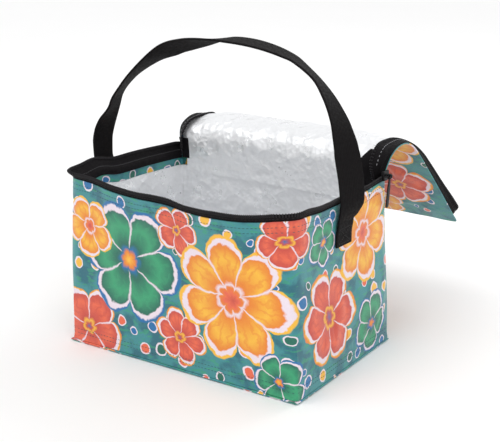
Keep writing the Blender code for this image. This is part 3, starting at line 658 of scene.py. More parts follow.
def settle(piece, pins, pressure, growth, reach, outward=None, frames=16):
    """Runs cloth on a sheet that is held at its pins, and keeps each point within its reach."""
    start = [vert.co.copy() for vert in piece.data.vertices]
    held = piece.vertex_groups.new(name="sewn")
    held.add(pins, 1.0, "REPLACE")
    choose(piece)
    bpy.ops.object.modifier_add(type="CLOTH")
    cloth = piece.modifiers[-1]
    cloth.settings.vertex_group_mass = "sewn"
    cloth.settings.quality = 5
    cloth.settings.mass = 0.1
    cloth.settings.tension_stiffness = 20
    cloth.settings.compression_stiffness = 20
    cloth.settings.shear_stiffness = 8
    cloth.settings.bending_stiffness = 0.05
    cloth.settings.use_pressure = pressure != 0
    cloth.settings.uniform_pressure_force = pressure
    cloth.settings.shrink_min = -growth
    cloth.settings.effector_weights.gravity = 0
    cloth.collision_settings.use_collision = False
    scene = bpy.context.scene
    cloth.point_cache.frame_start, cloth.point_cache.frame_end = 1, frames
    for number in range(1, frames + 1):
        scene.frame_set(number)
    bpy.ops.object.modifier_apply(modifier=cloth.name)
    scene.frame_set(1)
    for vert, old in zip(piece.data.vertices, start):
        move = vert.co - old
        if move.length > reach:
            move *= reach / move.length
        if outward:
            out = outward(old)
            inward = min(move.dot(out), 0.0)
            move -= out * inward
        vert.co = old + move
    piece.vertex_groups.clear()
    piece.data.update()


def surface_of(piece):
    """A search tree of a piece's faces."""
    points = [vert.co.copy() for vert in piece.data.vertices]
    return BVHTree.FromPolygons(points, [tuple(face.vertices) for face in piece.data.polygons])


def stand(spot, along, up):
    """Puts a seed shape at a spot: its X along the run and its Z out of the cloth."""
    x = along.normalized()
    z = (up - x * up.dot(x)).normalized()
    place = Matrix((x, z.cross(x), z)).transposed().to_4x4()
    place.translation = spot
    return place


def repeat(name, seed, places):
    """Copies a seed shape to every place, each copy with its own mesh, and joins them."""
    copies = []
    for place in places:
        copy = seed.copy()
        copy.data = seed.data.copy()
        copy.data.transform(place)
        bpy.context.scene.collection.objects.link(copy)
        copies.append(copy)
    bpy.data.objects.remove(seed)
    choose(*copies)
    bpy.ops.object.join()
    return new_piece(name)


def stitch_seed(long, wide, high):
    """One stitch: a short plump thread."""
    bpy.ops.object.select_all(action="DESELECT")
    bpy.ops.mesh.primitive_uv_sphere_add(segments=6, ring_count=4, radius=0.5, rotation=(0, math.pi / 2, 0))
    piece = new_piece("stitch seed")
    bpy.ops.object.transform_apply(location=True, rotation=True, scale=True)
    piece.scale = (long, wide, high)
    bpy.ops.object.transform_apply(location=True, rotation=True, scale=True)
    return piece


def tooth_seed(long, wide, high):
    """One turn of the zip's coil: a small bar with eased edges."""
    bpy.ops.object.select_all(action="DESELECT")
    bpy.ops.mesh.primitive_cube_add(size=1)
    piece = new_piece("tooth seed")
    piece.scale = (long, wide, high)
    bpy.ops.object.transform_apply(location=True, rotation=True, scale=True)
    change(piece, "BEVEL", width=min(long, high) * 0.28, segments=1, limit_method="NONE")
    return piece


def sewn_places(tree, points, lift):
    """Places for stitches along a row of points, on the cloth below them."""
    places = []
    for near, far in points:
        spot, normal, _, _ = tree.find_nearest((near + far) / 2)
        places.append(stand(spot + normal * lift, far - near, normal))
    return places


def pairs(count, place):
    """Ends of each stitch of a row, from a function of the share along it."""
    return [(place((n + 0.2) / count), place((n + 0.8) / count)) for n in range(count)]


def sew(name, size, tree, rows, lift, finish, slot, body=None):
    """Sews rows of stitches on the piece that a search tree was made of."""
    stitches = repeat(name, stitch_seed(*size), sewn_places(tree, rows, lift))
    return dress(stitches, finish_of(finish), slot, body)


def coil(name, count, spots_at, node, body=None):
    """A zip's coil; spots_at gives a turn's spot, the spot ahead and the one below, by its share."""
    places = []
    for n in range(count):
        spot, ahead, below = spots_at((n + 0.5) / count)
        places.append(stand(spot, ahead - spot, spot - below))
    teeth = repeat(name, tooth_seed(*TOOTH), places)
    return dress(teeth, finish_of("coil"), "black_tape", body, [node])


def facing_way(*direction):
    """One outward direction for a whole sheet."""
    return lambda point: Vector(direction)


class Value:
    """One output of a node; sums on it add their Math or Vector Math nodes to the material."""

    def __init__(self, paint, socket):
        self.paint, self.socket = paint, socket

    def out(self, name):
        """Another output of the same node."""
        return Value(self.paint, self.socket.node.outputs[name])

    def sum(self, operation, *terms):
        """One Math node, or Vector Math where a term is a vector or colour."""
        flat = not any(
            isinstance(t, tuple) or (isinstance(t, Value) and t.socket.type != "VALUE") for t in terms
        )
        kind = "ShaderNodeMath" if flat else "ShaderNodeVectorMath"
        if not flat:
            terms = [t if isinstance(t, (Value, tuple)) else (t, t, t) for t in terms]
        return self.paint.node(kind, {"operation": operation}, dict(enumerate(terms)))

    def __add__(self, other):
        return self.sum("ADD", self, other)

    def __radd__(self, other):
        return self.sum("ADD", other, self)

    def __sub__(self, other):
        return self.sum("SUBTRACT", self, other)

    def __rsub__(self, other):
        return self.sum("SUBTRACT", other, self)

    def __mul__(self, other):
        return self.sum("MULTIPLY", self, other)

    def __rmul__(self, other):
        return self.sum("MULTIPLY", other, self)

    def __truediv__(self, other):
        return self.sum("DIVIDE", self, other)

    def __rtruediv__(self, other):
        return self.sum("DIVIDE", other, self)

    def __pow__(self, other):
        return self.sum("POWER", self, other)

    def __abs__(self):
        return self.sum("ABSOLUTE", self)

    def step(self, low, high):
        """0 at low to 1 at high, smoothly."""
        inputs = {"Value": self, "From Min": low, "From Max": high}
        return self.paint.node("ShaderNodeMapRange", {"interpolation_type": "SMOOTHSTEP"}, inputs)


class Paint:
    """A material's tree, and the ways to add nodes to it."""

    def __init__(self, name):
        self.material = bpy.data.materials.new(name)
        self.material.use_nodes = True
        self.tree = self.material.node_tree
        self.shader = self.tree.nodes["Principled BSDF"]

    def node(self, kind, settings=None, inputs=None, output=None):
        """Adds a node: its settings first, then the values or links of its sockets."""
        node = self.tree.nodes.new(kind)
        for name, value in (settings or {}).items():
            if name == "stops":
                ramp = node.color_ramp
                while len(ramp.elements) < len(value):
                    ramp.elements.new(1.0)
                for element, (place, colour) in zip(ramp.elements, value):
                    element.position = place
                    element.color = (*colour, 1.0)
            elif name == "ramp":
                node.color_ramp.interpolation = value
            else:
                setattr(node, name, value)
        for name, value in (inputs or {}).items():
            self.set(node.inputs[name], value)
        sockets = [s for s in node.outputs if s.enabled]
        return Value(self, node.outputs[output] if output else sockets[0])

    def set(self, socket, value):
        """Links a value to a socket, or sets it."""
        if isinstance(value, Value):
            self.tree.links.new(value.socket, socket)
        elif isinstance(value, tuple) and len(value) == 3 and socket.type == "RGBA":
            socket.default_value = (*value, 1.0)
        else:
            socket.default_value = value

    def mix(self, factor, first, second, blend="MIX"):
        """Mixes two colours."""
        settings = {"data_type": "RGBA", "blend_type": blend}
        return self.node("ShaderNodeMix", settings, {0: factor, 6: first, 7: second})

    def noise(self, spot, scale, detail=3.0, output=None):
        """Soft noise at a number of waves to the metre."""
        inputs = {"Vector": spot, "Scale": scale, "Detail": detail}
        return self.node("ShaderNodeTexNoise", {}, inputs, output)

    def uv(self):
        """Place on the flat cloth, in metres."""
        return self.node("ShaderNodeUVMap", {"uv_map": "UVMap"})

    def split(self, vector):
        """The x and y of a vector."""
        parts = self.node("ShaderNodeSeparateXYZ", {}, {0: vector})
        return parts.out("X"), parts.out("Y")

    def trig(self, operation, *terms):
        """A sine, cosine or angle."""
        return self.node("ShaderNodeMath", {"operation": operation}, dict(enumerate(terms)))

    def place(self):
        """Place in the part's own frame, in metres."""
        return self.node("ShaderNodeTexCoord", {}, {}, "Object")

    def cells(self, inputs, **settings):
        """Distance to the nearest of scattered points."""
        return self.node("ShaderNodeTexVoronoi", settings, inputs, "Distance")

    def bump(self, height, distance, strength=1.0):
        """Feeds the shader's normal from a height."""
        inputs = {"Height": height, "Distance": distance, "Strength": strength}
        self.set(self.shader.inputs["Normal"], self.node("ShaderNodeBump", {}, inputs))

    def finish(self, **inputs):
        """Sets the shader's own sockets."""
        for name, value in inputs.items():
            self.set(self.shader.inputs[name.replace("_", " ")], value)
        return self.material


def lighter(colour, times, more=0.0):
    """A colour made lighter or darker."""
    return tuple(min(c * times + more, 1) for c in colour)


def blossom(paint, canvas, spot, grain, motif, styles):
    """Paints one blossom with rounded petals over a canvas."""
    u, v, radius, petals, turn, style = motif
    deep = styles[style][3][1] if style == "coral" else styles[style][4][1]
    away = spot - (u, v, 0.0)
    x, y = paint.split(away)
    away_length = paint.node("ShaderNodeVectorMath", {"operation": "LENGTH"}, {0: away}, "Value")
    angle = paint.trig("ARCTAN2", y, x)
    lobe = abs(paint.trig("COSINE", angle * (petals / 2) + turn))
    reach = away_length / ((lobe**0.5) * (0.36 * radius) + 0.64 * radius)
    inputs = {0: reach + grain * 0.16}
    face = paint.node("ShaderNodeValToRGB", {"stops": styles[style], "ramp": "LINEAR"}, inputs)
    parting = (1 - lobe.step(0.0, 0.20)) * (1 - reach.step(0.84, 0.90)) * reach.step(0.22, 0.30)
    vein = paint.trig("SINE", angle * (petals * 3.5) + grain * 14).step(0.2, 0.9)
    face = paint.mix(vein * reach.step(0.30, 0.5) * (1 - reach.step(0.74, 0.84)) * 0.45, face, deep)
    face = paint.mix(parting, face, styles["parting"])
    return paint.mix(reach.step(1.0, 0.975), canvas, face)


def printed_cloth(name, motifs, colours):
    """Satin cloth with a painted print of blossoms on a turquoise ground."""
    paint = Paint(name)
    flat = paint.uv()
    slow = paint.noise(flat, 42.0, 2.0, "Color") - 0.5
    quick = paint.noise(flat, 260.0, 2.0, "Color") - 0.5
    spot = flat + slow * 0.008 + quick * 0.0016
    grain = paint.noise(spot, 120.0, 4.0) - 0.5
    rgb = {key: tuple(getattr(colours, key)) for key in (
        "ground", "deep", "sun", "amber", "coral", "rust", "teal", "bottle", "blue", "lilac"
    )}
    canvas = paint.mix(paint.noise(spot, 55.0, 4.0).step(0.45, 0.62), rgb["ground"], rgb["deep"])
    strokes = paint.noise(spot * (90.0, 300.0, 1.0), 1.0, 2.0).step(0.56, 0.60)
    canvas = paint.mix(strokes * 0.55, canvas, rgb["teal"])
    cells = paint.node(
        "ShaderNodeTexVoronoi", {"feature": "F1", "voronoi_dimensions": "2D"},
        {"Vector": spot, "Scale": 50.0, "Randomness": 0.75},
    )
    pick, other = paint.split(cells.out("Color"))
    dots = paint.node("ShaderNodeValToRGB", {"ramp": "CONSTANT", "stops": (
        (0.0, rgb["blue"]), (0.3, rgb["sun"]), (0.55, rgb["bottle"]), (0.75, rgb["coral"]),
    )}, {0: pick})
    size = other * 0.16 + 0.13
    canvas = paint.mix((cells / size).step(1.05, 0.98), canvas, rgb["lilac"])
    canvas = paint.mix((cells / size).step(0.80, 0.74), canvas, dots)
    styles = {
        "parting": rgb["lilac"],
        "sun": (
            (0.0, rgb["rust"]), (0.12, rgb["coral"]), (0.20, rgb["amber"]), (0.24, rgb["lilac"]),
            (0.30, rgb["amber"]), (0.62, rgb["sun"]), (0.835, rgb["amber"]), (0.86, rgb["lilac"]),
            (0.925, rgb["lilac"]), (0.945, rgb["sun"]),
        ),
        "coral": (
            (0.0, rgb["blue"]), (0.10, rgb["rust"]), (0.18, rgb["sun"]), (0.25, rgb["rust"]),
            (0.60, rgb["coral"]), (0.825, rgb["rust"]), (0.85, rgb["lilac"]), (0.915, rgb["lilac"]),
            (0.935, rgb["sun"]), (0.97, rgb["amber"]),
        ),
        "teal": (
            (0.0, rgb["sun"]), (0.12, rgb["amber"]), (0.19, rgb["blue"]), (0.26, rgb["bottle"]),
            (0.60, rgb["teal"]), (0.84, rgb["bottle"]), (0.865, rgb["lilac"]), (0.92, rgb["lilac"]),
            (0.945, rgb["blue"]),
        ),
    }
    for motif in motifs:
        canvas = blossom(paint, canvas, spot, grain, motif, styles)
    wash = paint.noise(flat, 900.0, 2.0).step(0.35, 0.75) * 0.25
    washed = paint.mix(wash, canvas, rgb["lilac"], "SOFT_LIGHT")
    x, y = paint.split(flat)
    weave, weft = (paint.trig("SINE", way * (math.tau / 0.0009)) for way in (x, y))
    ripple = paint.noise(flat, 70.0, 3.0)
    paint.bump((weave * weft) * 0.05 + ripple * 1.0, 0.0009, 0.5)
    sheen = paint.noise(flat, 24.0, 3.0).step(0.3, 0.7) * 0.10 + 0.36
    return paint.finish(Base_Color=washed, Roughness=sheen, Sheen_Weight=0.15, Specular_IOR_Level=0.45)


def black_webbing(name, colour, pitch, ribs):
    """Woven webbing or tape: ribs across its run, and threads that fray the light a little."""
    paint = Paint(name)
    flat = paint.uv()
    x, y = paint.split(flat)
    along = paint.trig("SINE", x * (math.tau / pitch))
    across = paint.trig("SINE", y * (math.tau / ribs))
    dust = paint.noise(flat, 420.0, 3.0)
    thread = (along * across) * 0.5 + 0.5
    shade = paint.mix(thread * 0.35 + dust * 0.4, colour, lighter(colour, 1.9, 0.002))
    paint.bump(along * 0.6 + across * 0.4 + dust * 0.5, 0.00016, 0.7)
    rough = dust.step(0.3, 0.7) * 0.2 + 0.6
    return paint.finish(Base_Color=shade, Roughness=rough, Sheen_Weight=0.0, Specular_IOR_Level=0.1)


def silver_foil(name, colour):
    """Crinkled silver film: sharp little creases, a cloudy shine, and painted shade that darkens the colour
    along the small creases.
    """
    paint = Paint(name)
    place = paint.place()
    bend = paint.noise(place, 60.0, 3.0, "Color") - 0.5
    creases, small = (
        paint.cells({"Vector": place + bend * far, "Scale": scale, "Randomness": 1.0})
        for far, scale in ((0.012, 85.0), (0.006, 210.0))
    )
    cloud = paint.noise(place, 45.0, 4.0).step(0.3, 0.7)
    # Colour varies at random with the cloud, and is darker along the small creases' relief: painted shade
    # in the crinkles.
    shade = paint.mix(cloud * 0.4 + small * 0.3, colour, lighter(colour, 0.90))
    paint.bump(creases + small * 0.5, 0.0019, 0.65)
    return paint.finish(Base_Color=shade, Roughness=cloud * 0.14 + 0.26, Metallic=0.4)


def padding_foam(name, colour):
    """Closed cell foam: fine cells and a soft, matt face."""
    paint = Paint(name)
    cells = paint.cells({"Vector": paint.place(), "Scale": 900.0})
    shade = paint.mix(cells * 0.6, colour, lighter(colour, 0.8))
    paint.bump(cells, 0.0003, 0.7)
    return paint.finish(Base_Color=shade, Roughness=0.9)


def black_enamel(name, colour):
    """Enamelled zip metal, worn a little lighter where it is handled."""
    paint = Paint(name)
    place = paint.place()
    wear = paint.noise(place, 700.0, 4.0).step(0.58, 0.74)
    shade = paint.mix(wear * 0.4, colour, (0.03, 0.03, 0.032))
    paint.bump(paint.noise(place, 1500.0, 2.0), 0.0001, 0.4)
    return paint.finish(Base_Color=shade, Roughness=wear * 0.2 + 0.42, Specular_IOR_Level=0.22)


def nylon_coil(name, colour):
    """Moulded nylon of the zip's coil: dark, and shinier than the tape."""
    paint = Paint(name)
    cloud = paint.noise(paint.place(), 800.0, 2.0)
    shade = paint.mix(cloud * 0.6, colour, lighter(colour, 2.0, 0.004))
    paint.bump(cloud, 0.0001, 0.4)
    return paint.finish(Base_Color=shade, Roughness=cloud * 0.2 + 0.4, Specular_IOR_Level=0.25)


def sewing_thread(name, colour):
    """Twisted thread."""
    paint = Paint(name)
    twist = paint.noise(paint.place(), 1800.0, 2.0)
    shade = paint.mix(twist, colour, lighter(colour, 1.8, 0.01))
    paint.bump(twist, 0.0001, 0.6)
    return paint.finish(Base_Color=shade, Roughness=0.6)


FINISHES = {}


def finish_of(name):
    """A finish by its name, made once."""
    if name in FINISHES:
        return FINISHES[name]
    colours = bpy.context.scene.holder_colours
    makers = {
        "wall print": lambda: printed_cloth("printed satin wall", WALL_BLOSSOMS, colours),
        "lid print": lambda: printed_cloth("printed satin lid", LID_BLOSSOMS, colours),
        "webbing": lambda: black_webbing("black webbing", tuple(colours.webbing), 0.0011, 0.0015),
        "tape": lambda: black_webbing("black zip tape", tuple(colours.tape), 0.0008, 0.0009),
        "foil": lambda: silver_foil("crinkled foil", tuple(colours.foil)),
        "foam": lambda: padding_foam("closed cell foam", tuple(colours.foam)),
        "enamel": lambda: black_enamel("black enamel", tuple(colours.enamel)),
        "thread": lambda: sewing_thread("green sewing thread", tuple(colours.thread)),
        "black thread": lambda: sewing_thread("black sewing thread", tuple(colours.tape)),
        "grey thread": lambda: sewing_thread("pale sewing thread", tuple(colours.pale)),
        # Pale thread darkened to three tenths for the stitches inside the wall: painted shade.
        "pale thread in painted shade": lambda: sewing_thread("pale sewing thread in painted shade", tuple(c * 0.3 for c in colours.pale)),
        "coil": lambda: nylon_coil("black nylon coil", tuple(colours.coil)),
    }
    FINISHES[name] = makers[name]()
    return FINISHES[name]


def bag():
    """The bag's shape, from the sizes in the scene."""
    return BagShape(bpy.context.scene.holder_sizes)


def out_of_wall(shape):
    """Outward direction at a point of the wall."""
    def outward(point):
        flat = Vector((point.x / shape.half_x, point.y / shape.half_y, 0))
        if abs(flat.x) > abs(flat.y):
            return Vector((math.copysign(1, flat.x), 0, 0))
        return Vector((0, math.copysign(1, flat.y), 0))
    return outward


class HOLDER_OT_outer_wrap(bpy.types.Operator):
    """Printed cloth round the front and sides, with its hem and base stitching"""

    bl_idname = "holder.outer_wrap"
    bl_label = "Outer wrap"

    def execute(self, context):
        shape = bag()
        low = shape.wall_bottom

        def cloth(u, v):
            s = (1 - u) * shape.open_end
            height = low + (shape.seam(s) - low) * v
            calm = ease(v, 0.04, 0.3) * (1 - ease(v, 0.86, 0.97))
            side = shape.rim(DIP, s)
            puff = 0.35 + 0.5 * wave(0.045, s, height, 4.0) + 0.25 * wave(0.018, s, height, 9.0)
            point = shape.wall(s, height)
            out = shape.plan(s)[1]
            near_tab = 0.0
            for middle in (shape.side_place("right", 0.0), shape.side_place("left", 0.0)):
                near_tab = max(near_tab, 1 - ease(abs(s - middle), 0.014, 0.024))
            calm *= 1 - near_tab * ease(height, 0.085, 0.100)
            lift = max(puff, 0.0) * 0.0012 * calm * (1.0 - 0.2 * side)
            return point + Vector((*out, 0)) * lift

        def flat(u, v):
            return u * shape.open_end, low + (WALL_HEIGHT - low) * v

        piece = add_sheet("outer_wrap_cloth", 230, 64, cloth, flat)
        face_out(piece, out_of_wall(shape))
        pins = []
        for n, vert in enumerate(piece.data.vertices):
            x, y, z = vert.co
            at_tab = abs(y - TAB_Y) < 0.016 and abs(x) > 0.09 and z > 0.098
            at_back = y > shape.cy + 0.003
            if z < 0.014 or z > 0.124 or at_tab or at_back:
                pins.append(n)
        settle(piece, pins, 0.6, 0.012, 0.0016, out_of_wall(shape))
        thicken(piece, shape.z.skin)
        tree = surface_of(piece)
        dress(piece, finish_of("wall print"), "printed_cloth", "tub", ["outer_wrap"])
        count = round(shape.open_end / shape.z.stitch_pitch)
        heights = [lambda t, drop=drop: shape.seam(shape.open_end * t) - drop for drop in (0.0045, 0.0085)]
        heights += [lambda t, height=height: height for height in (0.0085, 0.0120)]
        rows = []
        for height_at in heights:
            rows += pairs(count, lambda t: shape.wall(shape.open_end * (0.004 + 0.992 * t), height_at(t)))
        sew("wall_stitches", CLOTH_STITCH, tree, rows, CLOTH_LIFT, "thread", "printed_cloth", "tub")
        return {"FINISHED"}


class HOLDER_OT_base(bpy.types.Operator):
    """Pinched base seam, base cloth, foam and the foil floor"""

    bl_idname = "holder.base"
    bl_label = "Base"

    def execute(self, context):
        shape = bag()
        thick = shape.z.seam_thick

        def seam(turn, side):
            s = shape.round * (1 - turn)
            point, out = shape.plan(s)
            inner = point - out * SEAM_GRIP + shape.shift(point)
            outer = shape.flange(s)
            angle = side * math.tau
            across = 0.5 + 0.5 * math.copysign(abs(math.cos(angle)) ** 0.55, math.cos(angle))
            rise = 0.5 + 0.5 * math.copysign(abs(math.sin(angle)) ** 0.8, math.sin(angle))
            rise = rise * (1 + 0.06 * wave(0.012, s, 5.0)) if rise > 0.5 else rise
            return Vector((*inner.lerp(outer, across), thick * min(rise, 1.0)))

        def flat(turn, side):
            return shape.open_end - shape.round * (1 - turn), -0.006 * side

        piece = add_ring("base_seam_roll", 360, 14, seam, flat)
        dress(piece, finish_of("wall print"), "printed_cloth", "tub", ["base_seam"], 60)

        def floor_sheet(inset, height, crinkle):
            half_x, half_y = shape.half_x - inset, shape.half_y - inset
            radius = max(shape.z.corner - inset, 0.004)

            def place(u, v):
                x, y = (2 * u - 1) * half_x, (2 * v - 1) * half_y
                p, q = (abs(x) - half_x + radius) / radius, (abs(y) - half_y + radius) / radius
                if p > 0 and q > 0:
                    p, q = p * math.sqrt(1 - q * q / 2), q * math.sqrt(1 - p * p / 2)
                    x = math.copysign(half_x - radius + p * radius, x)
                    y = math.copysign(half_y - radius + q * radius, y)
                rise = crinkle * max(0.3 + wave(0.016, x, y, 2.0) + 0.6 * wave(0.007, x, y, 6.0), 0.0)
                return Vector((x, y, height + rise)) + shape.shift(Vector((x, y))).to_3d()

            return place

        inset = shape.foil_inset + shape.z.foil + GAP
        grip = SEAM_GRIP + GAP
        layers = (
            ("base_cloth", grip, 0.0, 0.0, 0.0012, (40, 28), "wall print", "printed_cloth", "base_skin"),
            ("base_foam_pad", inset, 0.0015, 0.0, 0.0030, (40, 28), "foam", "padding_foam", "base_foam"),
            ("base_foil", inset, 0.0048, 0.0006, 0.0008, (130, 88), "foil", "foil_lining", "base_lining"),
        )
        for name, edge, height, crinkle, layer, grid, finish, slot, node in layers:
            place = floor_sheet(edge, height, crinkle)
            sheet = add_sheet(name, *grid, place, lambda u, v: (0.15 + 0.2 * u, 0.13 * v - 0.14))
            face_out(sheet, facing_way(0, 0, 1))
            thicken(sheet, layer, 1.0)
            dress(sheet, finish_of(finish), slot, "tub", [node])
            if finish == "foam":
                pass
            else:
                width, depth = shape.z.wall_length - 2 * edge, shape.z.wall_width - 2 * edge
        return {"FINISHED"}


class HOLDER_OT_wall_padding(bpy.types.Operator):
    """Foam and crinkled foil round the inside, and the printed facing below the tape"""

    bl_idname = "holder.wall_padding"
    bl_label = "Wall padding"

    def execute(self, context):
        shape = bag()

        def top(s):
            return shape.seam(s) - shape.lining_drop

        def ring(inset, floor, crinkle):
            def place(u, v):
                s = (1 - u) * shape.round
                height = floor + (top(s) - floor) * v
                point = shape.wall(s, height, inset)
                turn = u * math.tau
                loop = (0.07 * math.cos(turn), 0.07 * math.sin(turn))
                folds = wave(0.015, *loop, height) + 0.7 * wave(0.007, *loop, height + 3)
                calm = ease(v, 0.0, 0.05) * (1 - ease(v, 0.96, 1.0))
                shift = crinkle * max(0.25 + folds, 0.0) * calm
                return point - Vector((*shape.plan(s)[1], 0)) * shift
            return place

        def cloth(u, v):
            return u * shape.round, v * LINING_HEIGHT

        low = shape.wall_bottom
        foam = add_sheet("wall_foam_pad", 180, 16, ring(shape.z.skin + GAP, low, 0.0), cloth)
        merge(foam)
        face_out(foam, out_of_wall(shape))
        thicken(foam, shape.z.foam)
        dress(foam, finish_of("foam"), "padding_foam", "tub", ["wall_foam"])
        foil = add_sheet("wall_foil", 300, 56, ring(shape.foil_inset, low, 0.0007), cloth)
        merge(foil)
        face_out(foil, out_of_wall(shape))
        pins = [n for n, vert in enumerate(foil.data.vertices) if not 0.008 <= vert.co.z <= 0.118]
        settle(foil, pins, 0.0, 0.03, 0.0010, lambda point: -out_of_wall(shape)(point))
        thicken(foil, shape.z.foil)
        dress(foil, finish_of("foil"), "foil_lining", "tub", ["wall_lining"])

        def strip(u, v):
            s = (1 - u) * shape.open_end
            low = shape.seam(s) - shape.z.tape_below - GAP - shape.z.facing
            return shape.wall(s, low + shape.z.facing * v, shape.z.skin + GAP)

        def flat(u, v):
            return u * shape.open_end, 0.150 - 0.0065 * v

        facing = add_sheet("rim_facing_strip", 200, 4, strip, flat)
        face_out(facing, out_of_wall(shape))
        thicken(facing, shape.foil_inset + shape.z.foil - shape.z.skin - 3 * GAP)
        dress(facing, finish_of("wall print"), "printed_cloth", "tub", ["rim_facing"])
        return {"FINISHED"}


class HOLDER_OT_rim_zip(bpy.types.Operator):
    """Zip tape round the rim with its coil, and the tape tails at the back corners; the right tail also
    fills its corner as a dark sheet of painted shade
    """

    bl_idname = "holder.rim_zip"
    bl_label = "Rim zip"

    def execute(self, context):
        shape = bag()
        low = -shape.z.tape_below
        wide = shape.z.tape_above - low

        def tape(u, v):
            s = (1 - u) * shape.open_end
            return shape.tape(s, low + (shape.tape_top(s) - low) * v)

        piece = add_sheet("rim_tape", 260, 12, tape, lambda u, v: (u * shape.open_end, v * wide))
        face_out(piece, out_of_wall(shape))
        thicken(piece, shape.z.tape)
        tree = surface_of(piece)
        dress(piece, finish_of("tape"), "black_tape", "tub", ["rim_zip_tape"])

        def turn_of_coil(share):
            s = shape.open_end * share
            high = shape.tape_top(s)
            aside = Vector((SLIDER_ROOM * (1 - ease(s, 0.048, 0.070)), 0, 0))
            turns = ((s, TOOTH_DROP), (s + 0.0005, TOOTH_DROP), (s, TOOTH_FOOT))
            return [shape.tape(place, high - drop, shape.z.tape / 2) - aside for place, drop in turns]

        coil("rim_teeth", round(shape.open_end / shape.z.tooth_pitch), turn_of_coil, "rim_zip_coil", "tub")
        seams = (
            ("rim_tape_stitches", TAPE_STITCH, 0.0020, -0.0005, "black thread"),
            # The inner row is sewn in the pale thread darkened as painted shade.
            ("rim_inner_stitches", INNER_STITCH, -0.0002, 0.0030, "pale thread in painted shade"),
        )
        for name, size, rise, inset, finish in seams:
            rows = pairs(
                round(shape.open_end / TAPE_STITCH_PITCH),
                lambda t: shape.tape(shape.open_end * (0.003 + 0.994 * t), rise, inset),
            )
            sew(name, size, tree, rows, TAPE_LIFT, finish, "black_tape", "tub")
        # The right tail is the tape's end drawn long and high enough to fill the dark inner back right
        # corner: partly tape, and partly a dark sheet of painted shade.
        tails = (("left", -1, 0.0120, 0.1300, 0.1480), ("right", 1, 0.0255, 0.1285, 0.1595))
        for word, side, reach, low, high in tails:

            def tail(u, v):
                height = low + (high - low) * v
                slope = 1 - 0.35 * ease(height, 0.146, 0.162)
                share = 0.5 + side * (0.5 - (0.0015 + reach * slope * u) / shape.back_run)
                x = side * (shape.lid_half_at(height) - 0.0015 - reach * slope * u)
                ripple = 0.0004 * wave(0.012, u * 0.02, height, side)
                lift = 0.0011 + 0.0005 * math.sin(math.pi * u) + ripple
                return shape.back_cloth(share, height, shape.foil_depth(x, height) + lift)

            def flat(u, v):
                return reach * u, (high - low) * v

            end = add_sheet("zip_tail_" + word, 16, 18, tail, flat)
            face_out(end, facing_way(0, 1, 0))
            thicken(end, shape.z.tape, 1.0)
            change(end, "BEVEL", width=0.0003, segments=2, limit_method="ANGLE")
            dress(end, finish_of("tape"), "black_tape", None, ["zip_end_" + word])
            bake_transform(end)
        return {"FINISHED"}


class HOLDER_OT_back_and_fold(bpy.types.Operator):
    """Printed back wall and foil that run over the hinge into the fold of the lid"""

    bl_idname = "holder.back_and_fold"
    bl_label = "Back and fold"

    def execute(self, context):
        shape = bag()
        low, high = shape.wall_bottom, shape.fold_middle

        def skin(u, v):
            reach = low + (high - low) * v
            calm = ease(v, 0.05, 0.3) * (1 - ease(v, 0.7, 0.85))
            puff = max(0.3 + 0.6 * wave(0.05, u * 0.2, reach, 11.0), 0.0) * 0.0012 * calm
            return shape.back_cloth(1 - u, reach, -puff)

        def flat(u, v):
            return shape.open_end + u * shape.back_run, low + (high - low) * v

        piece = add_sheet("back_cloth", 110, 84, skin, flat)
        face_out(piece, facing_way(0, 1, 0))
        pins = [
            n for n, vert in enumerate(piece.data.vertices)
            if not (0.015 < vert.co.z < 0.135 and abs(vert.co.x) < 0.093)
        ]
        settle(piece, pins, 0.6, 0.01, 0.0014, out_of_wall(shape))
        thicken(piece, shape.z.skin)
        dress(piece, finish_of("lid print"), "printed_cloth", None, ["back_panel", "lid_fold_skin"])
        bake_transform(piece)
        foil_low = 0.1185

        def foil(u, v):
            reach = foil_low + (high - foil_low) * v
            x = 1 - 2 * u
            folds = wave(0.014, x * 0.1, reach, 2.0) + 0.7 * wave(0.006, x * 0.1, reach, 8.0)
            press = shape.pinch(x * shape.lid_half_at(reach), reach)
            puff = 0.0007 * max(0.25 + folds, 0.0) * (1 - ease(abs(x), 0.94, 1.0)) * (1 - 0.8 * press)
            depth = shape.foil_depth(x * (shape.lid_half_at(reach) - LID_FOIL_INSET), reach)
            depth += 0.0007 * (1 - ease(reach, foil_low, 0.128))
            return shape.back_cloth(1 - u, reach, depth + puff, LID_FOIL_INSET)

        lining = add_sheet("fold_foil", 130, 34, foil, lambda u, v: (0.2 * u, 0.04 * v))
        face_out(lining, facing_way(0, -1, 0))
        thicken(lining, LID_FOIL)
        dress(lining, finish_of("foil"), "foil_lining", None, ["lid_fold_lining"])
        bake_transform(lining)
        return {"FINISHED"}


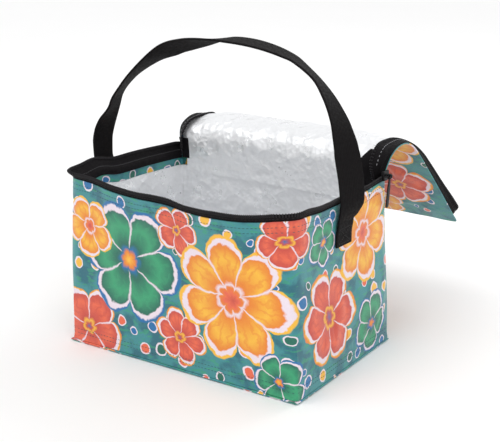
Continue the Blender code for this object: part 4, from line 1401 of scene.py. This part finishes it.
class HOLDER_OT_lid(bpy.types.Operator):
    """Lid from the middle of its fold to its free edge: print, padding, foil, facing and seam"""

    bl_idname = "holder.lid"
    bl_label = "Lid"

    def execute(self, context):
        shape = bag()
        near, far = shape.fold_middle, shape.lid_end

        def flat_spot(u, v, inset, start, end, radius):
            """Place on the flat cut, with the free corners rounded."""
            reach = start + (end - start) * v
            half = shape.lid_half_at(reach) - inset(reach)
            x = (2 * u - 1) * half
            p, q = (abs(x) - half + radius) / radius, (reach - end + radius) / radius
            if p > 0 and q > 0:
                p, q = p * math.sqrt(1 - q * q / 2), q * math.sqrt(1 - p * p / 2)
                x = math.copysign(half - radius + p * radius, x)
                reach = end - radius + q * radius
            return x, reach

        def layer(name, columns, rows, inset, depth, puff, start, end, radius):
            def place(u, v):
                x, reach = flat_spot(u, v, inset, start, end, radius)
                edge = min(1 - abs(2 * u - 1), 2 * (1 - v), 1.0)
                calm = ease(edge, 0.0, 0.35) * ease(reach, near, near + 0.02)
                return shape.lid(x, reach, depth(x, reach) + puff(x, reach) * calm)

            def cloth(u, v):
                x, reach = flat_spot(u, v, inset, start, end, radius)
                return shape.open_end + shape.back_run / 2 - x, reach

            return add_sheet(name, columns, rows, place, cloth)

        def swell(x, reach):
            return -0.0012 * max(0.5 + 0.6 * wave(0.05, x, reach, 1.0), 0.0)

        up, down = facing_way(0, 0.7, 0.7), facing_way(0, -0.7, -0.7)
        cloth_end = far + shape.z.lid_hem
        skin = layer("lid_cloth", 110, 74, lambda v: 0.0, lambda x, v: 0.0, swell, near, cloth_end, 0.0014)
        face_out(skin, down)
        pins = self.edge_points(skin, shape, near)
        settle(skin, pins, 0.5, 0.01, 0.0014, down)
        thicken(skin, shape.z.skin)
        dress(skin, finish_of("lid print"), "printed_cloth", None, ["lid_skin"])
        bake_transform(skin)

        def pad_inset(v):
            return LID_PAD_INSET + 0.0262 * (1 - ease(v, 0.192, 0.218))

        base = shape.z.skin + GAP
        radius = shape.z.lid_corner - LID_PAD_INSET
        pad = layer(
            "lid_pad", 60, 40, pad_inset, lambda x, v: base, lambda x, v: 0.0,
            near + 0.004, far - LID_PAD_INSET, radius,
        )
        face_out(pad, down)
        thicken(pad, LID_PAD)
        change(pad, "BEVEL", width=0.0006, segments=2, limit_method="ANGLE")
        dress(pad, finish_of("foam"), "padding_foam", None, ["lid_foam"])
        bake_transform(pad)

        def crinkle(x, reach):
            folds = wave(0.015, x, reach, 3.0) + 0.7 * wave(0.006, x, reach, 8.0)
            return (0.0008 * max(0.25 + folds, 0.0) + 0.0008) * (1 - 0.9 * shape.pinch(x, reach))

        radius = shape.z.lid_corner - LID_FOIL_INSET
        foil = layer(
            "lid_foil", 160, 110, lambda v: LID_FOIL_INSET, shape.foil_depth, crinkle,
            near, far - LID_FOIL_INSET, radius,
        )
        face_out(foil, up)
        thicken(foil, LID_FOIL)
        dress(foil, finish_of("foil"), "foil_lining", None, ["lid_lining"])
        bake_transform(foil)

        def facing(u, v):
            start = 0.222 - near
            inset = 0.0015 + 0.0055 * v
            run = shape.lid_edge_length(inset) - 2 * start
            reach = shape.lid_edge(start + u * run, inset)[1]
            inset += 0.0042 * math.tan(min(max(shape.tape_lean(reach), 0.0), 0.9))
            x, reach = shape.lid_edge(start + u * run, inset)
            free = 1 - shape.pinch(math.copysign(shape.lid_half_at(reach), x), reach)
            depth = shape.foil_inset - GAP + 0.0008 * math.sin(math.pi * v)
            return shape.lid(x, reach, 0.0006 + free * depth)

        def flat(u, v):
            return 0.5 + 0.2 * u, 0.2 + 0.0055 * v

        strip = add_sheet("lid_facing_strip", 220, 5, facing, flat)
        face_out(strip, up)
        thicken(strip, 0.0008, 1.0)
        dress(strip, finish_of("lid print"), "printed_cloth", None, ["lid_facing"])
        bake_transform(strip)

        half = shape.lid_half_at(cloth_end) - 0.0009

        def seam(u, v):
            angle = v * math.tau
            point = 1 - 0.55 * ease(abs(2 * u - 1), 0.975, 1.0)
            reach = cloth_end - 0.0002 + 0.0010 * point + 0.0010 * point * math.cos(angle)
            x = half * (1 - 2 * u)
            sag = 0.0004 * wave(0.02, x, 4.0)
            return shape.lid(x, reach, 0.0006 + 0.0006 * math.sin(angle) + sag)

        def seam_print(u, v):
            across = shape.open_end + shape.back_run / 2 - half * (1 - 2 * u)
            return across, cloth_end + 0.0008 * math.cos(v * math.tau)

        edge = add_bar("lid_edge_seam", 120, 12, seam, seam_print)
        dress(edge, finish_of("lid print"), "printed_cloth", "lid_panel", ["lid_seam"], 60)
        return {"FINISHED"}

    @staticmethod
    def edge_points(piece, shape, near):
        """Points of the lid's cloth that are sewn, or lie before the panel."""
        low = shape.lid(0, near + 0.03)
        pins = []
        for n, vert in enumerate(piece.data.vertices):
            tip = vert.co.z < shape.lid(0, shape.lid_end - 0.008).z
            if abs(vert.co.x) > 0.100 or tip or vert.co.y < low.y:
                pins.append(n)
        return pins


class HOLDER_OT_lid_zip(bpy.types.Operator):
    """Zip tape that stands round the lid, in its two bands, with stitches and coil"""

    bl_idname = "holder.lid_zip"
    bl_label = "Lid zip"

    def execute(self, context):
        shape = bag()
        run = shape.lid_edge_length(GAP)

        def wide(u):
            return shape.tape_width(shape.lid_edge(u * run, GAP)[1])

        band = add_sheet(
            "lid_tape", 280, 10, lambda u, v: shape.edge_tape(u * run, wide(u) * v),
            lambda u, v: (run * u, wide(u) * v),
        )
        face_out(band, facing_way(1, 0, 0))
        thicken(band, shape.z.tape)
        tree = surface_of(band)
        dress(band, finish_of("tape"), "black_tape", None, ["lid_zip_tape"])

        def turn_of_coil(share):
            start = share * run
            turns = ((start, TOOTH_DROP), (start + 0.0005, TOOTH_DROP), (start, TOOTH_FOOT))
            return [shape.edge_tape(d, wide(share) - drop, shape.z.tape / 2) for d, drop in turns]

        teeth = coil("lid_teeth", round(run / shape.z.tooth_pitch), turn_of_coil, "lid_zip_coil")
        rows = pairs(
            round(run / TAPE_STITCH_PITCH),
            lambda t: shape.edge_tape(run * (0.003 + 0.994 * t), 0.0030, -0.0006),
        )
        seams = sew("lid_tape_stitches", TAPE_STITCH, tree, rows, TAPE_LIFT, "black thread", "black_tape")
        rows = []
        for start in (0.0, run - 0.030):
            rows += pairs(12, lambda t: shape.edge_tape(start + 0.030 * t, shape.z.lid_tape, -0.0006))
        light = sew("lid_band_stitches", BAND_STITCH, tree, rows, TAPE_LIFT, "grey thread", "black_tape")
        for piece in (band, teeth, seams, light):
            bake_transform(piece)
        for word, side in (("left", -1), ("right", 1)):
            self.fold_tape(shape, word, side)
        return {"FINISHED"}

    def fold_tape(self, shape, word, side):
        """The tape from the rim's back corner up and over the fold, which leans in over the mouth."""
        near, far = 0.1385, shape.fold_middle
        share = (1 + side) / 2

        def place(u, height, inset=0.0):
            v = near + (far - near) * u
            foot = shape.back_cloth(share, v, shape.z.skin + GAP)
            foot.x -= side * GAP
            up = Vector((0, *shape.lid_run(v)[2]))
            return foot + shape.lean_out(Vector((-side, 0, 0)), up, v, height, inset)

        def wide(u):
            return shape.tape_width(near + (far - near) * u)

        band = add_sheet(
            "fold_tape_" + word, 30, 10, lambda u, v: place(u, wide(u) * v),
            lambda u, v: (0.03 * u, wide(u) * v),
        )
        face_out(band, facing_way(side, 0, 0))
        thicken(band, shape.z.tape)
        tree = surface_of(band)
        dress(band, finish_of("tape"), "black_tape", None, ["fold_zip_tape_" + word])

        def turn_of_coil(share):
            turns = ((share, TOOTH_DROP), (share + 0.01, TOOTH_DROP), (share, TOOTH_FOOT))
            return [place(u, wide(share) - drop, shape.z.tape / 2) for u, drop in turns]

        teeth = coil("fold_teeth_" + word, 19, turn_of_coil, "fold_zip_coil_" + word)
        rows = pairs(8, lambda t: place(0.35 + 0.65 * t, shape.z.lid_tape, -0.0006))
        name = "fold_stitches_" + word
        seams = sew(name, BAND_STITCH, tree, rows, TAPE_LIFT, "grey thread", "black_tape")
        for piece in (band, teeth, seams):
            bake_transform(piece)


class HOLDER_OT_handle(bpy.types.Operator):
    """Webbing handle with its sewn ends and their box stitching"""

    bl_idname = "holder.handle"
    bl_label = "Handle"

    def execute(self, context):
        shape = bag()
        last = len(ARCH_TABLE) - 1
        count = 320
        stops = [shape.arch(last * n / count) for n in range(count + 1)]
        gone = [0.0]
        for near, far in zip(stops, stops[1:]):
            gone.append(gone[-1] + (far[0] - near[0]).length)

        def web(u, v):
            n = round(u * count)
            middle, roll = stops[n]
            run = (stops[min(n + 1, count)][0] - stops[max(n - 1, 0)][0]).normalized()
            level = (Vector((0, 1, 0)) - run * run.y).normalized()
            across = level * math.cos(roll) + run.cross(level) * math.sin(roll)
            return middle + across * (shape.z.web_width * (v - 0.5))

        def flat(u, v):
            return gone[round(u * count)], shape.z.web_width * v

        piece = add_sheet("handle_webbing", count, 10, web, flat)
        face_out(piece, facing_way(1, 0, 0))
        thicken(piece, shape.z.web_thick, 0.0)
        change(piece, "BEVEL", width=0.0005, segments=2, limit_method="ANGLE")
        tree = surface_of(piece)
        nodes = ["handle_left", "handle_crown", "handle_right", "handle_end_left", "handle_end_right"]
        dress(piece, finish_of("webbing"), "black_webbing", None, nodes)
        swing = shape.z.swing_height
        start, end = (0, TAB_Y, swing - 0.004), (0, TAB_Y, swing + 0.010)
        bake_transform(piece)
        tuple(start)
        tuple(end)
        low, high = swing - 0.0125, swing - 0.0015
        near, far = TAB_Y - 0.0087, TAB_Y + 0.0087
        rows = []
        for side in (-1, 1):
            x = side * (shape.half_x + 0.01)
            corners = [Vector((x, *spot)) for spot in ((near, low), (far, low), (far, high), (near, high))]
            for first, second in ((0, 1), (1, 2), (2, 3), (3, 0), (0, 2), (1, 3)):
                a, b = corners[first], corners[second]
                rows += pairs(max(round((b - a).length / 0.0022), 2), lambda t: a.lerp(b, t))
        sew("handle_stitches", WEB_STITCH, tree, rows, CLOTH_LIFT, "black thread", "black_webbing", "tub")
        return {"FINISHED"}


class HOLDER_OT_slider(bpy.types.Operator):
    """Zip slider with its bridge, and the pull that hangs from it"""

    bl_idname = "holder.slider"
    bl_label = "Zip slider and pull"

    def execute(self, context):
        low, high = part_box("zip_slider")
        pull_low, pull_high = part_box("zip_pull")
        middle_y = (low.y + high.y) / 2
        body = self.block("slider_body", low, Vector((low.x + SLIDER_THICK, high.y, high.z)), 0.0008)
        self.waist(body, middle_y, low, high)
        axis = Vector((pull_low.x + pull_high.x, 0, 0)) / 2
        axis.y, axis.z = middle_y, (low.z + high.z) / 2
        loop = self.bridge(low.x + 0.0016, axis)
        choose(body, loop)
        bpy.ops.object.join()
        dress(body, finish_of("enamel"), "zip_metal", "slider", ["zip_slider"], 40)
        pull = self.pull(axis, pull_low, pull_high)
        dress(pull, finish_of("enamel"), "zip_metal", "pull", ["zip_pull"], 40)
        return {"FINISHED"}

    @staticmethod
    def block(name, low, high, bevel):
        """A block between two corners with rounded edges."""
        bpy.ops.object.select_all(action="DESELECT")
        bpy.ops.mesh.primitive_cube_add(size=1, location=(low + high) / 2)
        piece = new_piece(name)
        piece.scale = high - low
        bpy.ops.object.transform_apply(location=True, rotation=True, scale=True)
        edit(piece, (bpy.ops.mesh.subdivide, {"number_cuts": 5}))
        change(piece, "BEVEL", width=bevel, segments=4, limit_method="ANGLE", angle_limit=math.radians(60))
        return piece

    @staticmethod
    def waist(piece, middle, low, high):
        """Draws the slider in towards its tail, as a zip slider's two throats meet."""
        for vert in piece.data.vertices:
            tail = (high.z - vert.co.z) / (high.z - low.z)
            vert.co.y = middle + (vert.co.y - middle) * (1 - 0.32 * ease(tail, 0.35, 1.0))

    @staticmethod
    def bridge(face, axis):
        """The bent bar that holds the pull."""
        reach = axis.x - face
        wide = 0.0031

        def path(t):
            angle = math.pi * t
            return Vector((face + reach * math.sin(angle) ** 0.7, axis.y - wide * math.cos(angle), axis.z))

        def tube(u, v):
            here = path(u)
            along = (path(min(u + 0.01, 1.0)) - path(max(u - 0.01, 0.0))).normalized()
            side = Vector((0, 0, 1))
            out = along.cross(side)
            angle = v * math.tau
            return here + (side * math.cos(angle) + out * math.sin(angle)) * 0.0008

        return add_bar("slider_bridge", 24, 12, tube, lambda u, v: (u * 0.01, v * 0.004))

    def pull(self, axis, low, high):
        """A flat pull: an eye round the bridge, a waisted tab and a ribbed grip."""
        bpy.ops.object.select_all(action="DESELECT")
        bpy.ops.mesh.primitive_torus_add(
            location=axis, rotation=(math.pi / 2, 0, 0), major_radius=0.0017, minor_radius=0.0006,
            major_segments=28, minor_segments=10,
        )
        ring = new_piece("pull_eye_ring")
        bpy.ops.object.transform_apply(location=True, rotation=True, scale=True)
        for vert in ring.data.vertices:
            vert.co.y = axis.y + (vert.co.y - axis.y) * 2.6
        top = axis.z - 0.0018
        thick = (high.x - low.x) / 3.2

        def grip(u, v):
            z = top - (top - low.z) * u
            tip = ease(u, 0.93, 1.0)
            wide = 0.0013 + 0.0009 * ease(u, 0.04, 0.35)
            wide *= math.sqrt(max(1 - tip**2 * 0.8, 0.05))
            ribs = 0.00003 * (1 + math.cos(u * 60)) * ease(u, 0.5, 0.56) * (1 - ease(u, 0.84, 0.88))
            angle = v * math.tau
            across = math.copysign(abs(math.cos(angle)) ** 0.4, math.cos(angle)) * wide
            deep = math.copysign(abs(math.sin(angle)) ** 0.5, math.sin(angle)) * (thick * 0.36 + ribs)
            return Vector((axis.x - 0.0016 * u + deep, axis.y + across, z))

        tab = add_bar("pull_grip", 90, 20, grip, lambda u, v: (u * 0.02, v * 0.01))
        choose(ring, tab)
        bpy.ops.object.join()
        return new_piece("pull_tab")


class HOLDER_OT_stage(bpy.types.Operator):
    """Pale floor, soft studio light and the camera"""

    bl_idname = "holder.stage"
    bl_label = "Stage"

    def execute(self, context):
        colours = context.scene.holder_colours
        bpy.ops.object.select_all(action="DESELECT")
        bpy.ops.mesh.primitive_plane_add(size=12, location=(0, 0, -0.0002))
        floor = new_piece("studio_floor")
        paint = Paint("pale floor")
        cloud = paint.noise(paint.place(), 6.0, 2.0)
        tone = tuple(colours.floor)
        paint.finish(Base_Color=paint.mix(cloud, tone, lighter(tone, 0.985)), Roughness=0.7)
        floor.data.materials.append(paint.material)
        world = bpy.data.worlds.new("soft studio")
        context.scene.world = world
        world.use_nodes = True
        world.node_tree.nodes["Background"].inputs["Color"].default_value = (1.0, 1.0, 1.0, 1.0)
        world.node_tree.nodes["Background"].inputs["Strength"].default_value = 0.84
        sun_way = Vector((0.45, 0.75, -1.25))
        turn = sun_way.to_track_quat("-Z", "Y").to_euler()
        bpy.ops.object.light_add(type="SUN", location=-sun_way, rotation=turn)
        sun = bpy.context.active_object
        sun.name = sun.data.name = "soft key"
        sun.data.energy = 0.75
        sun.data.angle = math.radians(50)
        lights = (("fill light", (1.3, -0.9, 0.7), 0.8, 4.0), ("back light", (0.2, 1.3, 1.2), 0.8, 5.0))
        for name, spot, size, power in lights:
            bpy.ops.object.light_add(type="AREA", location=spot)
            light = bpy.context.active_object
            light.name = light.data.name = name
            light.data.shape = "DISK"
            light.data.size = size
            light.data.energy = power
            light.rotation_euler = (Vector((0, 0, 0.1)) - Vector(spot)).to_track_quat("-Z", "Y").to_euler()
        eye, aim = Vector((0.52985, -0.71880, 0.36898)), Vector((0.0211, 0, 0.10612))
        bpy.ops.object.camera_add(location=eye, rotation=(aim - eye).to_track_quat("-Z", "Y").to_euler())
        camera = bpy.context.active_object
        camera.name = camera.data.name = "studio camera"
        camera.data.sensor_width = 36
        camera.data.lens = 81.48
        camera.data.clip_start, camera.data.clip_end = 0.01, 50
        context.scene.camera = camera
        context.scene.view_settings.view_transform = "Standard"
        return {"FINISHED"}


OPERATORS = (
    HOLDER_OT_outer_wrap, HOLDER_OT_base, HOLDER_OT_wall_padding, HOLDER_OT_rim_zip,
    HOLDER_OT_back_and_fold, HOLDER_OT_lid, HOLDER_OT_lid_zip, HOLDER_OT_handle, HOLDER_OT_slider,
    HOLDER_OT_stage,
)


class HOLDER_PT_panel(bpy.types.Panel):
    """Lists the steps that build the drink holder"""

    bl_idname = "HOLDER_PT_panel"
    bl_label = "Drink Holder"
    bl_space_type = "VIEW_3D"
    bl_region_type = "UI"
    bl_category = "Drink Holder"

    def draw(self, context):
        for operator in OPERATORS:
            self.layout.operator(operator.bl_idname)


CLASSES = (HolderSizes, HolderColours, *OPERATORS, HOLDER_PT_panel)


def register():
    """Registers the classes and the scene's sizes and colours."""
    for kind in CLASSES:
        bpy.utils.register_class(kind)
    bpy.types.Scene.holder_sizes = PointerProperty(type=HolderSizes)
    bpy.types.Scene.holder_colours = PointerProperty(type=HolderColours)


def unregister():
    """Takes the classes, sizes and colours out again."""
    del bpy.types.Scene.holder_sizes
    del bpy.types.Scene.holder_colours
    for kind in reversed(CLASSES):
        bpy.utils.unregister_class(kind)


def main():
    """Builds every piece in order."""
    register()
    for operator in OPERATORS:
        group, name = operator.bl_idname.split(".")
        getattr(getattr(bpy.ops, group), name)()


if __name__ == "__main__":
    main()
